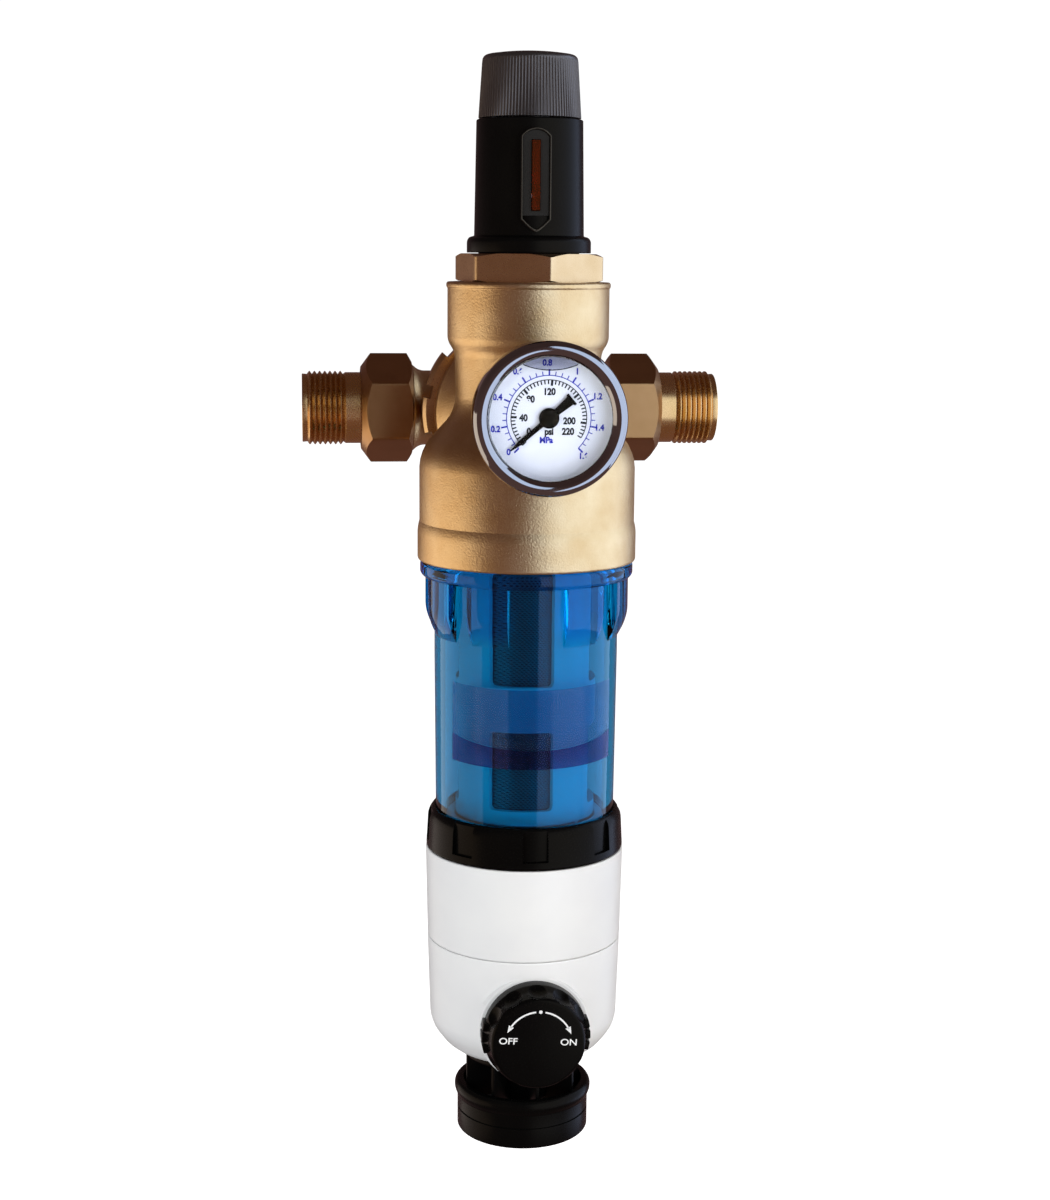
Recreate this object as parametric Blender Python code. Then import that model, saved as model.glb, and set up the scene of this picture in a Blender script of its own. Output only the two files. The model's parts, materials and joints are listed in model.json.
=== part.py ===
"""Self cleaning water filter with a pressure reducing valve, for a 1 inch house main.

Metres, +Z up. The origin is the centre of the pipe run: +X runs along the pipe to the outlet,
-Y is the front, where the gauge and the drain knob face. The filter itself is a column of round
pieces on a vertical axis in front of the pipe. Each size is a named value below, each fit is such
a value plus a named clearance, and the levels of the column are stacked from the pipe's height.
"""

from math import cos, pi, radians, sin, tau

import bmesh
import bpy
from mathutils import Matrix

MM = 0.001

# Clearances, and how finely round pieces are divided.
GAP = 0.3 * MM
RUNNING_GAP = 0.4 * MM
OVERLAP = 1.0 * MM
WELD = 1e-6
COARSE, MEDIUM, FINE = 12, 16, 24

# Pipe connector: a straight run with a round port that faces the filter.
PIPE_R = 16.8 * MM
PIPE_BORE_R = 12.5 * MM
PLAIN_HALF = 41.1 * MM
SHOULDER_R = 19.5 * MM
SHOULDER_RUN = 3.3 * MM
UNION_THREAD_R = 18.9 * MM
UNION_THREAD_LENGTH = 14.2 * MM
INLET_STOP = 15.0 * MM
OUTLET_STOP = 5.0 * MM
PORT_REACH = 23.0 * MM
PORT_ROOT = 3.0 * MM
PORT_NECK_R = 23.0 * MM
PORT_COLLAR_R = 33.0 * MM
PORT_COLLAR = 2.8 * MM
CLEAN_PORT_R = 9.0 * MM
RAW_PORT_INNER_R = 14.5 * MM
RAW_PORT_OUTER_R = 20.0 * MM
RAW_PORT_FLOOR = 15.0 * MM
RAW_WINDOW = 4.0 * MM
RAW_WINDOW_HALF = 7.0 * MM

# Unions: hexagon nuts that turn on collared tailpieces with a G1 thread.
NUT_FLATS = 43.0 * MM
NUT_LENGTH = 22.9 * MM
NUT_LIP = 3.4 * MM
NUT_CHAMFER = 2.8 * MM
NUT_NOSE_R = 18.1 * MM
TAIL_R = 33.25 / 2 * MM
TAIL_BORE_R = 12.5 * MM
TAIL_COLLAR = 3.0 * MM
TAIL_STANDS_OUT = 26.4 * MM
TAIL_CHAMFER = 0.8 * MM
UNION_GASKET = 1.7 * MM

# Slotted coupling nut that clamps the filter's port to the connector's.
COUPLING_R = 41.3 * MM
COUPLING_LIP = 2.5 * MM
COUPLING_CHAMFER = 1.6 * MM
COUPLING_LENGTH = 9.0 * MM
SLOTS = 12
SLOT_WIDTH = 5.7 * MM
SLOT_DEPTH = 3.2 * MM
SLOT_TURN = radians(17)

# Brass body: heights are from the pipe's axis, lengths from the filter's axis.
BODY_REACH = 49.3 * MM
BODY_TOP = 57.8 * MM
BODY_DEPTH = 58.5 * MM
BAND_R = 46.4 * MM
BAND_HEIGHT = 16.3 * MM
LOWER_R = 45.6 * MM
LOWER_HEIGHT = 29.8 * MM
CONE_RISE = 16.8 * MM
NECK_R = 30.2 * MM
NECK_TOP_R = 30.8 * MM
NECK_HEIGHT = 24.3 * MM
UPPER_R = 33.8 * MM
UPPER_CHAMFER_RISE = 4.7 * MM
BEAD_R = 34.3 * MM
BEAD_HEIGHT = 2.6 * MM
FLANGE_R = 36.0 * MM
FLANGE = 8.4 * MM
FLANGE_NECK_R = 26.0 * MM
FLANGE_FLARE = 13.0 * MM
SPIGOT_LENGTH = 3.4 * MM
WEB_TOP = 2.0 * MM
WEB = 16.0 * MM
WEB_HOLE_R = 14.0 * MM
LOWER_CHAMBER_R = 38.5 * MM
LOWER_CHAMBER_ROOF_R = 30.0 * MM
LOWER_CHAMBER_SLOPE = 8.0 * MM
UPPER_CHAMBER_R = 23.0 * MM
LEDGE = 40.0 * MM
BONNET_BORE_R = 27.5 * MM
RAW_PORT_WALL = 4.0 * MM
CLEAN_PORT_WALL = 4.0 * MM

# Face seals between the two ports.
SEAL_GROOVE = 1.9 * MM
SEAL_GROOVE_WIDTH = 2.4 * MM
INNER_SEAL_R = 11.8 * MM
OUTER_SEAL_R = 22.8 * MM

# Pressure reducing valve, from its seat up to its setting knob.
SEAT_BORE_R = 8.0 * MM
SEAT_SLEEVE = 7.3 * MM
SEAT_FLANGE_R = 17.5 * MM
SEAT_FLANGE = 2.5 * MM
VALVE_TRAVEL = 3.0 * MM
SEAT_DISC_R = 10.5 * MM
SEAT_DISC = 2.7 * MM
STEM_R = 3.0 * MM
STEM_SHOULDER_R = 4.5 * MM
STEM_WASHER_R = 9.0 * MM
STEM_WASHER = 2.0 * MM
STEM_HUB_R = 7.7 * MM
STEM_PLATE_R = 16.0 * MM
STEM_PLATE = 2.5 * MM
DIAPHRAGM = 2.2 * MM
FOLD_INNER_R = 19.0 * MM
FOLD_WIDTH = 3.6 * MM
FOLD_RISE = 1.9 * MM
UPPER_PLATE_R = 17.0 * MM
UPPER_PLATE_HUB_R = 12.0 * MM
UPPER_PLATE = 2.5 * MM
HUB_RISE = 3.1 * MM
STEM_NUT_FLATS = 10.0 * MM
STEM_NUT = 4.3 * MM
SLIP_RING = 1.1 * MM
SLIP_RING_WIDTH = 3.6 * MM
HEX_FLATS = 55.0 * MM
HEX_HEIGHT = 11.3 * MM
HEX_CHAMFER = 2.2 * MM
HEX_TURN = radians(10.3)
HEX_THREAD_LENGTH = 13.4 * MM
BONNET_FLANGE_R = 25.8 * MM
BONNET_FLANGE = 6.9 * MM
BONNET_R = 22.8 * MM
BONNET_TOP_R = 22.0 * MM
BONNET_HEIGHT = 47.0 * MM
BONNET_WALL = 4.6 * MM
BONNET_ROOF = 4.0 * MM
BONNET_THREAD_R = 21.0 * MM
WINDOW_WIDTH = 3.8 * MM
WINDOW_HEIGHT = 28.3 * MM
WINDOW_SILL = 9.8 * MM
WINDOW_FRAME_WIDTH = 12.0 * MM
WINDOW_FRAME_HEIGHT = 41.3 * MM
WINDOW_FRAME_FOOT = 1.5 * MM
WINDOW_FRAME_PROUD = 1.1 * MM
WINDOW_LENS = 1.5 * MM
SPRING_WIRE_R = 1.6 * MM
SPRING_R = 13.4 * MM
SPRING_TURNS = 5
SPRING_PLATE = 5.0 * MM
SPRING_PLATE_RISE = 20.7 * MM
SPRING_PLATE_KEY = 3.0 * MM
SPINDLE_R = 4.0 * MM
SPINDLE_TAIL = 22.0 * MM
SPINDLE_COLLAR_R = 8.0 * MM
SPINDLE_COLLAR = 3.8 * MM
SPINDLE_NECK_R = 5.0 * MM
SPINDLE_HEAD = 7.4 * MM
KNOB_R = 21.2 * MM
KNOB_TOP_R = 19.65 * MM
KNOB_SIDE = 24.3 * MM
KNOB_DOME = 2.6 * MM
KNOB_WALL = 2.6 * MM
KNOB_HUB_R = 9.0 * MM
KNOB_GAP = 0.5 * MM

# Pressure gauge on the front of the body, along its own axis.
GAUGE_HEIGHT = 6.9 * MM
GAUGE_BOSS_R = 11.0 * MM
GAUGE_BOSS_REACH = 39.0 * MM
GAUGE_THREAD_R = 6.3 * MM
GAUGE_THREAD_LENGTH = 11.0 * MM
GAUGE_WASHER_R = 10.5 * MM
GAUGE_WASHER = 1.5 * MM
GAUGE_HEX_FLATS = 14.0 * MM
GAUGE_HEX = 10.0 * MM
GAUGE_NECK_R = 6.0 * MM
GAUGE_NECK = 8.6 * MM
GAUGE_BORE_R = 2.0 * MM
CASE_R = 27.6 * MM
CASE_WALL = 1.4 * MM
CASE_DEPTH = 22.5 * MM
CASE_STANDS_OFF = 1.9 * MM
BEZEL_ROLL = 2.5 * MM
BEZEL_DEPTH = 13.2 * MM
BEZEL_COVER = 3.8 * MM
BEZEL_FRONT = 2.6 * MM
LENS = 1.5 * MM
DIAL = 0.8 * MM
DIAL_BEHIND_LENS = 5.0 * MM
POINTER_TIP = 19.6 * MM
POINTER_TAIL = 11.8 * MM
POINTER_WIDTH = 5.4 * MM
POINTER = 0.8 * MM
POINTER_HUB_R = 4.0 * MM
POINTER_HUB = 2.2 * MM
POINTER_SPINDLE_R = 2.0 * MM
POINTER_ABOVE_DIAL = 0.9 * MM
ZERO_TURN = radians(-130)
MOVEMENT_WIDTH = 24.0 * MM
MOVEMENT_HEIGHT = 16.0 * MM
MOVEMENT_PLATE = 1.5 * MM
MOVEMENT_DEPTH = 7.6 * MM
PILLAR_R = 1.5 * MM
TUBE_R = 1.9 * MM
TUBE_BEND_R = 19.0 * MM
TUBE_SWEEP = radians(250)

# Clear bowl with the filter cage inside.
BOWL_R = 39.2 * MM
BOWL_FOOT_R = 38.6 * MM
BOWL_WALL = 4.0 * MM
BOWL_COLLAR_R = 45.3 * MM
BOWL_COLLAR = 6.3 * MM
BOWL_COLLAR_EDGE = 0.8 * MM
BOWL_THREAD_R = 39.5 * MM
BOWL_THREAD_LENGTH = 14.8 * MM
BOWL_LENGTH = 119.7 * MM
BOWL_STRAIGHT = 34.0 * MM
LUG_R = 43.5 * MM
LUG_DROP = 2.0 * MM
LUG_HEIGHT = 13.0 * MM
LUG_TAPER = 10.6 * MM
LUG_SWEEP = radians(25)
LUG_ANGLES = (28.7, 66.1, 113.9, 151.3, 208.7, 246.1, 293.9, 331.3)
ORING_SIDE = 2.4 * MM
ORING_SQUEEZE = 1.5 * MM
ORING_GROOVE_DEPTH = 1.8 * MM
CAGE_R = 30.0 * MM
CAGE_WALL = 2.5 * MM
CAGE_NECK_R = 13.7 * MM
CAGE_NECK_BORE_R = 11.5 * MM
CAGE_NECK = 20.7 * MM
CAGE_SHOULDER_RISE = 12.0 * MM
CAGE_ABOVE_BOWL_END = 10.0 * MM
CAGE_FLOOR = 2.5 * MM
CAGE_WINDOW_SWEEP = radians(52)
CAGE_WINDOW_TURN = radians(-10)
CAGE_WINDOWS = 4
UPPER_WINDOW_DROP = 12.0 * MM
UPPER_WINDOW = 58.7 * MM
CAGE_BAND = 19.3 * MM
CAGE_FOOT_BAND = 6.5 * MM
SCREEN = 0.6 * MM
SCREEN_MARGIN = 3.5 * MM
CAGE_FEET = 4
CAGE_FOOT = 2.0 * MM
CAGE_FOOT_INNER_R = 10.0 * MM
CAGE_FOOT_OUTER_R = 28.0 * MM

# Ring nut, and the white drain housing that it holds to the bowl.
RING_TOP_R = 40.4 * MM
RING_FLANK_R = 42.0 * MM
RING_R = 42.7 * MM
RING_TAPER = 3.7 * MM
RING_HEIGHT = 17.4 * MM
RING_LIP = 2.7 * MM
RING_ABOVE_BOWL_END = 11.7 * MM
RECESSES = 8
RECESS_SWEEP = radians(14.5)
RECESS_DEPTH = 1.4 * MM
RECESS_FOOT = 3.4 * MM
CLIP = 1.8 * MM
CLIP_R = 38.4 * MM
CLIP_STEPS = 22
CLIP_GROOVE_DEPTH = 1.5 * MM
HOUSING_R = 42.9 * MM
SEAM_R = 42.1 * MM
UPPER_HOUSING = 39.9 * MM
HOUSING_SPIGOT = 15.5 * MM
HOUSING_LAND_R = 35.7 * MM
HOUSING_BORE_R = 30.5 * MM
HOUSING_FLOOR = 7.5 * MM
FUNNEL_DROP = 22.0 * MM
DRAIN_PORT_R = 8.2 * MM
DRAIN_SPIGOT_R = 16.0 * MM
DRAIN_SPIGOT = 6.6 * MM
HOUSING_WALL = 3.8 * MM
LOWER_HOUSING_SIDE = 39.1 * MM
LOWER_HOUSING_R = 40.9 * MM
FOOT_CHAMFER_R = 35.0 * MM
FOOT_CHAMFER = 7.8 * MM
FOOT_R = 31.6 * MM
FOOT = 2.5 * MM
CORE_R = 20.5 * MM
CORE_FLOOR = 6.1 * MM

# Drain ball valve with its knob at the front.
DRAIN_AXIS_ABOVE_FOOT = 20.0 * MM
BALL_R = 13.0 * MM
BALL_BORE_R = 7.5 * MM
SEAT_RING_R = 16.7 * MM
SEAT_RING = 6.8 * MM
SEAT_RING_LIFT = 7.0 * MM
SEAT_CONE = 19.0 * MM
DRAIN_BOSS_R = 23.6 * MM
DRAIN_BOSS_REACH = 41.6 * MM
BOSS_ABOVE_FOOT = 0.5 * MM
DRAIN_STEM_R = 5.0 * MM
DRAIN_STEM_COLLAR_R = 8.0 * MM
DRAIN_STEM_COLLAR = 3.0 * MM
DRAIN_SQUARE = 7.0 * MM
DRAIN_SQUARE_LENGTH = 8.0 * MM
TANG = 3.0 * MM
TANG_WIDTH = 8.0 * MM
TANG_DEPTH = 2.4 * MM
DRAIN_KNOB_R = 22.0 * MM
DRAIN_KNOB_FACE_R = 19.8 * MM
DRAIN_KNOB_DEPTH = 15.5 * MM
DRAIN_KNOB_EDGE = 1.0 * MM
DRAIN_KNOB_WALL = 2.6 * MM
DRAIN_KNOB_FACE = 3.0 * MM
DRAIN_KNOB_HUB_R = 8.5 * MM
GRIPS = 3
GRIP_PITCH = radians(13)
GRIP_SWEEP = radians(7)
GRIP_PROUD = 1.2 * MM
GRIP_LENGTH = 7.0 * MM

# Drain neck with its air gap, and the cup that takes a 50 mm drain pipe.
NECK_FLANGE_R = 25.9 * MM
NECK_FLANGE = 5.0 * MM
NECK_SPIGOT_R = 16.7 * MM
NECK_BORE_R = 8.2 * MM
NECK_TUBE_R = 12.0 * MM
NECK_TUBE = 20.0 * MM
FINS = 8
FIN = 1.6 * MM
FIN_HEIGHT = 19.9 * MM
FIN_TURN = radians(8.4)
CUP_R = 28.9 * MM
CUP_LIP_R = 30.15 * MM
CUP_LIP = 5.9 * MM
CUP_HEIGHT = 22.0 * MM
CUP_LEDGE = 2.0 * MM
CUP_LEDGE_R = 22.0 * MM
CUP_LEDGE_DROP = 7.5 * MM
DRAIN_PIPE_R = 25.0 * MM
CUP_EDGE = 1.0 * MM

# Places that follow from the sizes: along the pipe, towards the filter, and up the column.
THREAD_END = PLAIN_HALF + SHOULDER_RUN + UNION_THREAD_LENGTH
NUT_START = PLAIN_HALF + SHOULDER_RUN + GAP
NUT_END = NUT_START + NUT_LENGTH
TAIL_COLLAR_END = NUT_END - NUT_LIP - GAP
TAIL_COLLAR_START = TAIL_COLLAR_END - TAIL_COLLAR
TAIL_END = NUT_END + TAIL_STANDS_OUT
UNION_GASKET_START = TAIL_COLLAR_START - GAP - UNION_GASKET
COLUMN_REACH = PORT_REACH + GAP + BODY_REACH
FLANGE_BACK = BODY_REACH - SPIGOT_LENGTH
COUPLING_FRONT = COLUMN_REACH - FLANGE_BACK - GAP
COUPLING_REAR = COUPLING_FRONT - COUPLING_LENGTH

BODY_BOTTOM = -BODY_DEPTH
BAND_TOP = BODY_BOTTOM + BAND_HEIGHT
CONE_BOTTOM = BAND_TOP + LOWER_HEIGHT
NECK_BOTTOM = CONE_BOTTOM + CONE_RISE
NECK_TOP = NECK_BOTTOM + NECK_HEIGHT
WEB_BOTTOM = WEB_TOP - WEB
SEAT_LEVEL = WEB_TOP + GAP - SEAT_SLEEVE
DISC_TOP = SEAT_LEVEL - GAP - VALVE_TRAVEL
DIAPHRAGM_BOTTOM = LEDGE + GAP
DIAPHRAGM_TOP = DIAPHRAGM_BOTTOM + DIAPHRAGM
STEM_PLATE_TOP = DIAPHRAGM_BOTTOM - VALVE_TRAVEL - 2 * GAP
UPPER_PLATE_BOTTOM = DIAPHRAGM_TOP + GAP
HUB_TOP = UPPER_PLATE_BOTTOM + HUB_RISE - GAP
UPPER_PLATE_TOP = HUB_TOP + GAP + UPPER_PLATE
STEM_TOP = UPPER_PLATE_TOP + GAP + STEM_NUT + 0.5 * MM
SLIP_RING_TOP = DIAPHRAGM_TOP + GAP + SLIP_RING
HEX_BOTTOM = BODY_TOP + GAP
HEX_TOP = HEX_BOTTOM + HEX_HEIGHT
BONNET_FLANGE_BOTTOM = HEX_TOP + GAP
BONNET_THREAD_BOTTOM = BONNET_FLANGE_BOTTOM - HEX_THREAD_LENGTH
BONNET_FLANGE_TOP = BONNET_FLANGE_BOTTOM + BONNET_FLANGE
BONNET_TOP = BONNET_FLANGE_TOP + BONNET_HEIGHT
BONNET_BORE = BONNET_TOP_R - BONNET_WALL
SPRING_BOTTOM = UPPER_PLATE_TOP + GAP
SPRING_PLATE_BOTTOM = BONNET_FLANGE_TOP + SPRING_PLATE_RISE
COLLAR_TOP = BONNET_TOP - BONNET_ROOF - GAP
KNOB_BOTTOM = BONNET_TOP + KNOB_GAP
SPINDLE_TOP = BONNET_TOP + SPINDLE_HEAD

BOWL_TOP = BODY_BOTTOM - GAP
BOWL_COLLAR_BOTTOM = BOWL_TOP - BOWL_COLLAR
BOWL_END = BOWL_TOP - BOWL_LENGTH
BOWL_BORE_R = BOWL_FOOT_R - BOWL_WALL
CAGE_TOP = SEAT_LEVEL - GAP
CAGE_SHOULDER_TOP = CAGE_TOP - CAGE_NECK
CAGE_SHOULDER_BOTTOM = CAGE_SHOULDER_TOP - CAGE_SHOULDER_RISE
CAGE_BOTTOM = BOWL_END + CAGE_ABOVE_BOWL_END
UPPER_WINDOW_TOP = CAGE_SHOULDER_BOTTOM - UPPER_WINDOW_DROP
UPPER_WINDOW_BOTTOM = UPPER_WINDOW_TOP - UPPER_WINDOW
LOWER_WINDOW_TOP = UPPER_WINDOW_BOTTOM - CAGE_BAND
LOWER_WINDOW_BOTTOM = CAGE_BOTTOM + CAGE_FOOT_BAND

RING_TOP = BOWL_END + RING_ABOVE_BOWL_END
RING_BOTTOM = RING_TOP - RING_HEIGHT
RING_LIP_TOP = RING_BOTTOM + RING_LIP
RING_THREAD_R = BOWL_FOOT_R + GAP
CLIP_BOTTOM = RING_LIP_TOP + GAP
CLIP_TOP = CLIP_BOTTOM + CLIP
HOUSING_TOP = RING_BOTTOM - GAP
HOUSING_SPIGOT_R = BOWL_BORE_R - GAP
HOUSING_SPIGOT_TOP = HOUSING_TOP + HOUSING_SPIGOT
FUNNEL_TOP = HOUSING_TOP - HOUSING_FLOOR
FUNNEL_BOTTOM = FUNNEL_TOP - FUNNEL_DROP
SEAM = HOUSING_TOP - UPPER_HOUSING
LOWER_TOP = SEAM - GAP
LOWER_SIDE_BOTTOM = LOWER_TOP - LOWER_HOUSING_SIDE
FOOT_BOTTOM = LOWER_SIDE_BOTTOM - FOOT_CHAMFER - FOOT
DRAIN_SPIGOT_BOTTOM = SEAM - DRAIN_SPIGOT
DRAIN_AXIS = FOOT_BOTTOM + DRAIN_AXIS_ABOVE_FOOT
CHAMBER_R = SEAT_RING_R + GAP
CHAMBER_TOP = DRAIN_AXIS + SEAT_RING_LIFT + SEAT_RING + GAP
NECK_SPIGOT_TOP = DRAIN_AXIS - SEAT_RING_LIFT - SEAT_RING - GAP
STEM_SEAT = CHAMBER_R + GAP + DRAIN_STEM_COLLAR + GAP + ORING_SIDE + GAP
DRAIN_KNOB_BACK = DRAIN_BOSS_REACH + RUNNING_GAP
NECK_FLANGE_TOP = FOOT_BOTTOM - GAP
NECK_FLANGE_BOTTOM = NECK_FLANGE_TOP - NECK_FLANGE
FIN_BOTTOM = NECK_FLANGE_BOTTOM - FIN_HEIGHT
CUP_LEDGE_TOP = FIN_BOTTOM - GAP
CUP_TOP = CUP_LEDGE_TOP + CUP_LEDGE_DROP
CUP_BOTTOM = CUP_TOP - CUP_HEIGHT

CASE_BACK = GAUGE_BOSS_REACH + GAP + GAUGE_WASHER + GAP + GAUGE_HEX + CASE_STANDS_OFF
CASE_FRONT = CASE_BACK + CASE_DEPTH
LENS_BACK = CASE_FRONT + GAP
BEZEL_LIP = LENS_BACK + LENS + GAP
BEZEL_BACK = BEZEL_LIP + BEZEL_FRONT - BEZEL_DEPTH
DIAL_FACE = LENS_BACK - DIAL_BEHIND_LENS
BEZEL_R = CASE_R + BEZEL_ROLL
BEZEL_OPENING_R = CASE_R - BEZEL_COVER
POINTER_BACK = DIAL_FACE + POINTER_ABOVE_DIAL
GAUGE_HEX_BACK = GAUGE_BOSS_REACH + 2 * GAP + GAUGE_WASHER
GAUGE_STEM_FRONT = GAUGE_HEX_BACK + GAUGE_HEX + GAUGE_NECK
MOVEMENT_BACK = GAUGE_STEM_FRONT + GAP

# How a piece that is turned about +Z stands once placed.
UP = (0, 0, 0)
FRONT = (pi / 2, 0, 0)
BACK = (-pi / 2, 0, 0)
RIGHT = (0, pi / 2, 0)
LEFT = (0, -pi / 2, 0)
AT_ORIGIN = (0, 0, 0)

# Finishes, as colour, roughness, metallic and how much light passes.
BRASS = ("cast_brass", (0.62, 0.42, 0.20), 0.34, 1.0, 0.0)
STEEL = ("steel", (0.62, 0.62, 0.62), 0.28, 1.0, 0.0)
CHROME = ("chrome", (0.80, 0.80, 0.82), 0.10, 1.0, 0.0)
COPPER = ("bronze", (0.60, 0.33, 0.20), 0.30, 1.0, 0.0)
RUBBER = ("black_rubber", (0.02, 0.02, 0.02), 0.70, 0.0, 0.0)
BLACK = ("black_plastic", (0.012, 0.012, 0.013), 0.38, 0.0, 0.0)
GREY = ("grey_plastic", (0.16, 0.17, 0.18), 0.48, 0.0, 0.0)
WHITE = ("white_plastic", (0.82, 0.82, 0.82), 0.35, 0.0, 0.0)
DIAL_WHITE = ("dial_enamel", (0.86, 0.87, 0.90), 0.40, 0.0, 0.0)
RED = ("red_plastic", (0.38, 0.07, 0.04), 0.45, 0.0, 0.0)
CLEAR = ("clear_lens", (0.95, 0.96, 0.97), 0.05, 0.0, 0.9)
BLUE = ("clear_blue_bowl", (0.02, 0.35, 0.62), 0.08, 0.0, 0.8)


def clear_scene():
    for obj in list(bpy.data.objects):
        bpy.data.objects.remove(obj, do_unlink=True)


def material(finish):
    """The finish's material, made when it is first asked for."""
    name, colour, roughness, metallic, transmission = finish
    found = bpy.data.materials.get(name)
    if found:
        return found
    made = bpy.data.materials.new(name)
    made.use_nodes = True
    shader = made.node_tree.nodes["Principled BSDF"]
    shader.inputs["Base Color"].default_value = (*colour, 1.0)
    shader.inputs["Roughness"].default_value = roughness
    shader.inputs["Metallic"].default_value = metallic
    shader.inputs["Transmission Weight"].default_value = transmission
    made.diffuse_color = (*colour, 1.0)
    return made


def pivot(name, place, parent=None):
    """An empty that pieces hang on, so that they turn about its place."""
    empty = bpy.data.objects.new(name, None)
    empty.location = place
    empty.parent = parent
    bpy.context.scene.collection.objects.link(empty)
    return empty


def piece(name, shape, finish, parent, place=AT_ORIGIN, stand=UP):
    """The object of a bmesh, closed, facing outwards and shaded smooth between its edges."""
    bmesh.ops.remove_doubles(shape, verts=shape.verts, dist=WELD)
    bmesh.ops.recalc_face_normals(shape, faces=shape.faces)
    mesh = bpy.data.meshes.new(name)
    shape.to_mesh(mesh)
    shape.free()
    mesh.shade_smooth()
    mesh.set_sharp_from_angle(angle=radians(35))
    obj = bpy.data.objects.new(name, mesh)
    obj.parent = parent
    obj.location = place
    obj.rotation_euler = stand
    if finish:
        mesh.materials.append(material(finish))
    else:
        obj.hide_render = True
        obj.display_type = "WIRE"
    bpy.context.scene.collection.objects.link(obj)
    return obj


def combine(target, operation, tool):
    """Joins the tool to the target, cuts it away, or keeps what both share."""
    modifier = target.modifiers.new(tool.name, "BOOLEAN")
    modifier.operation = operation
    modifier.object = tool
    modifier.solver = "EXACT"


def flat_end(end, beside):
    """Whether the outline ends as a flat face on the axis, and not in a point."""
    return end[0] == 0 and end[1] == beside[1]


def spun(outline, steps, sweep=tau, start=0.0):
    """A bmesh of (radius, height) points spun about Z: all the way round, or as a closed block."""
    shape = bmesh.new()
    whole = sweep == tau
    ring = outline[0][0] != 0 or outline[-1][0] != 0
    if flat_end(outline[0], outline[1]):
        outline = outline[1:]
    if flat_end(outline[-1], outline[-2]):
        outline = outline[:-1]
    points = [
        shape.verts.new((radius * cos(start), radius * sin(start), height))
        for radius, height in outline
    ]
    edges = [shape.edges.new(ends) for ends in zip(points, points[1:])]
    if ring:
        edges.append(shape.edges.new((points[-1], points[0])))
    geometry = points + edges
    if not whole:
        geometry.append(shape.faces.new(points))
    bmesh.ops.spin(
        shape,
        geom=geometry,
        cent=AT_ORIGIN,
        axis=(0, 0, 1),
        angle=sweep,
        steps=steps,
        use_merge=whole,
    )
    bmesh.ops.remove_doubles(shape, verts=shape.verts, dist=WELD)
    rims = [edge for edge in shape.edges if edge.is_boundary]
    bmesh.ops.holes_fill(shape, edges=rims, sides=0)
    return shape


def turned(name, outline, finish, parent, place=AT_ORIGIN, stand=UP, steps=FINE):
    return piece(name, spun(outline, steps), finish, parent, place, stand)


def cylinder(name, radius, low, high, parent, place=AT_ORIGIN, stand=UP, steps=MEDIUM):
    """A plain round tool for joins and cuts."""
    outline = [(0, low), (radius, low), (radius, high), (0, high)]
    return turned(name, outline, None, parent, place, stand, steps)


def ring_outline(inner, outer, low, high):
    return [(inner, low), (outer, low), (outer, high), (inner, high)]


def box_shape(sides, centre):
    shape = bmesh.new()
    bmesh.ops.create_cube(shape, size=1.0)
    bmesh.ops.scale(shape, vec=sides, verts=shape.verts)
    bmesh.ops.translate(shape, vec=centre, verts=shape.verts)
    return shape


def box(name, sides, centre, finish, parent, place=AT_ORIGIN, stand=UP):
    return piece(name, box_shape(sides, centre), finish, parent, place, stand)


def gathered(shapes):
    """One bmesh that holds several, for a tool with copies of a shape."""
    whole = bmesh.new()
    for shape in shapes:
        part = bpy.data.meshes.new("gathered")
        shape.to_mesh(part)
        shape.free()
        whole.from_mesh(part)
        bpy.data.meshes.remove(part)
    return whole


def fan(make, angles):
    """Copies of a bmesh, each turned about Z by its angle."""
    shapes = []
    for angle in angles:
        shape = make()
        turn = Matrix.Rotation(angle, 3, "Z")
        bmesh.ops.rotate(shape, cent=AT_ORIGIN, matrix=turn, verts=shape.verts)
        shapes.append(shape)
    return gathered(shapes)


def evenly(count, first=0.0):
    return [first + tau * index / count for index in range(count)]


def hexagon(name, flats, low, high, turn, finish, parent, place=AT_ORIGIN, stand=UP):
    """A plain hexagonal bar, with a flat towards local -Y before it is turned."""
    shape = bmesh.new()
    corner = flats / 2 / cos(pi / 6)
    bmesh.ops.create_cone(
        shape,
        cap_ends=True,
        segments=6,
        radius1=corner,
        radius2=corner,
        depth=high - low,
    )
    bmesh.ops.translate(shape, vec=(0, 0, (low + high) / 2), verts=shape.verts)
    matrix = Matrix.Rotation(pi / 6 + turn, 3, "Z")
    bmesh.ops.rotate(shape, cent=AT_ORIGIN, matrix=matrix, verts=shape.verts)
    return piece(name, shape, finish, parent, place, stand)


def groove(radius, high, side=ORING_SIDE):
    """The outline points of an O-ring groove, going down from its upper edge."""
    floor = radius - ORING_GROOVE_DEPTH
    low = high - side - 2 * GAP
    return [(radius, high), (floor, high), (floor, low), (radius, low)]


def oring(name, radius, high, parent, steps=FINE):
    """The O-ring that lies in such a groove, level with its rim."""
    low = high - GAP - ORING_SIDE
    outline = ring_outline(radius - ORING_SQUEEZE, radius, low, high - GAP)
    return turned(name, outline, RUBBER, parent, steps=steps)


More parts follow.
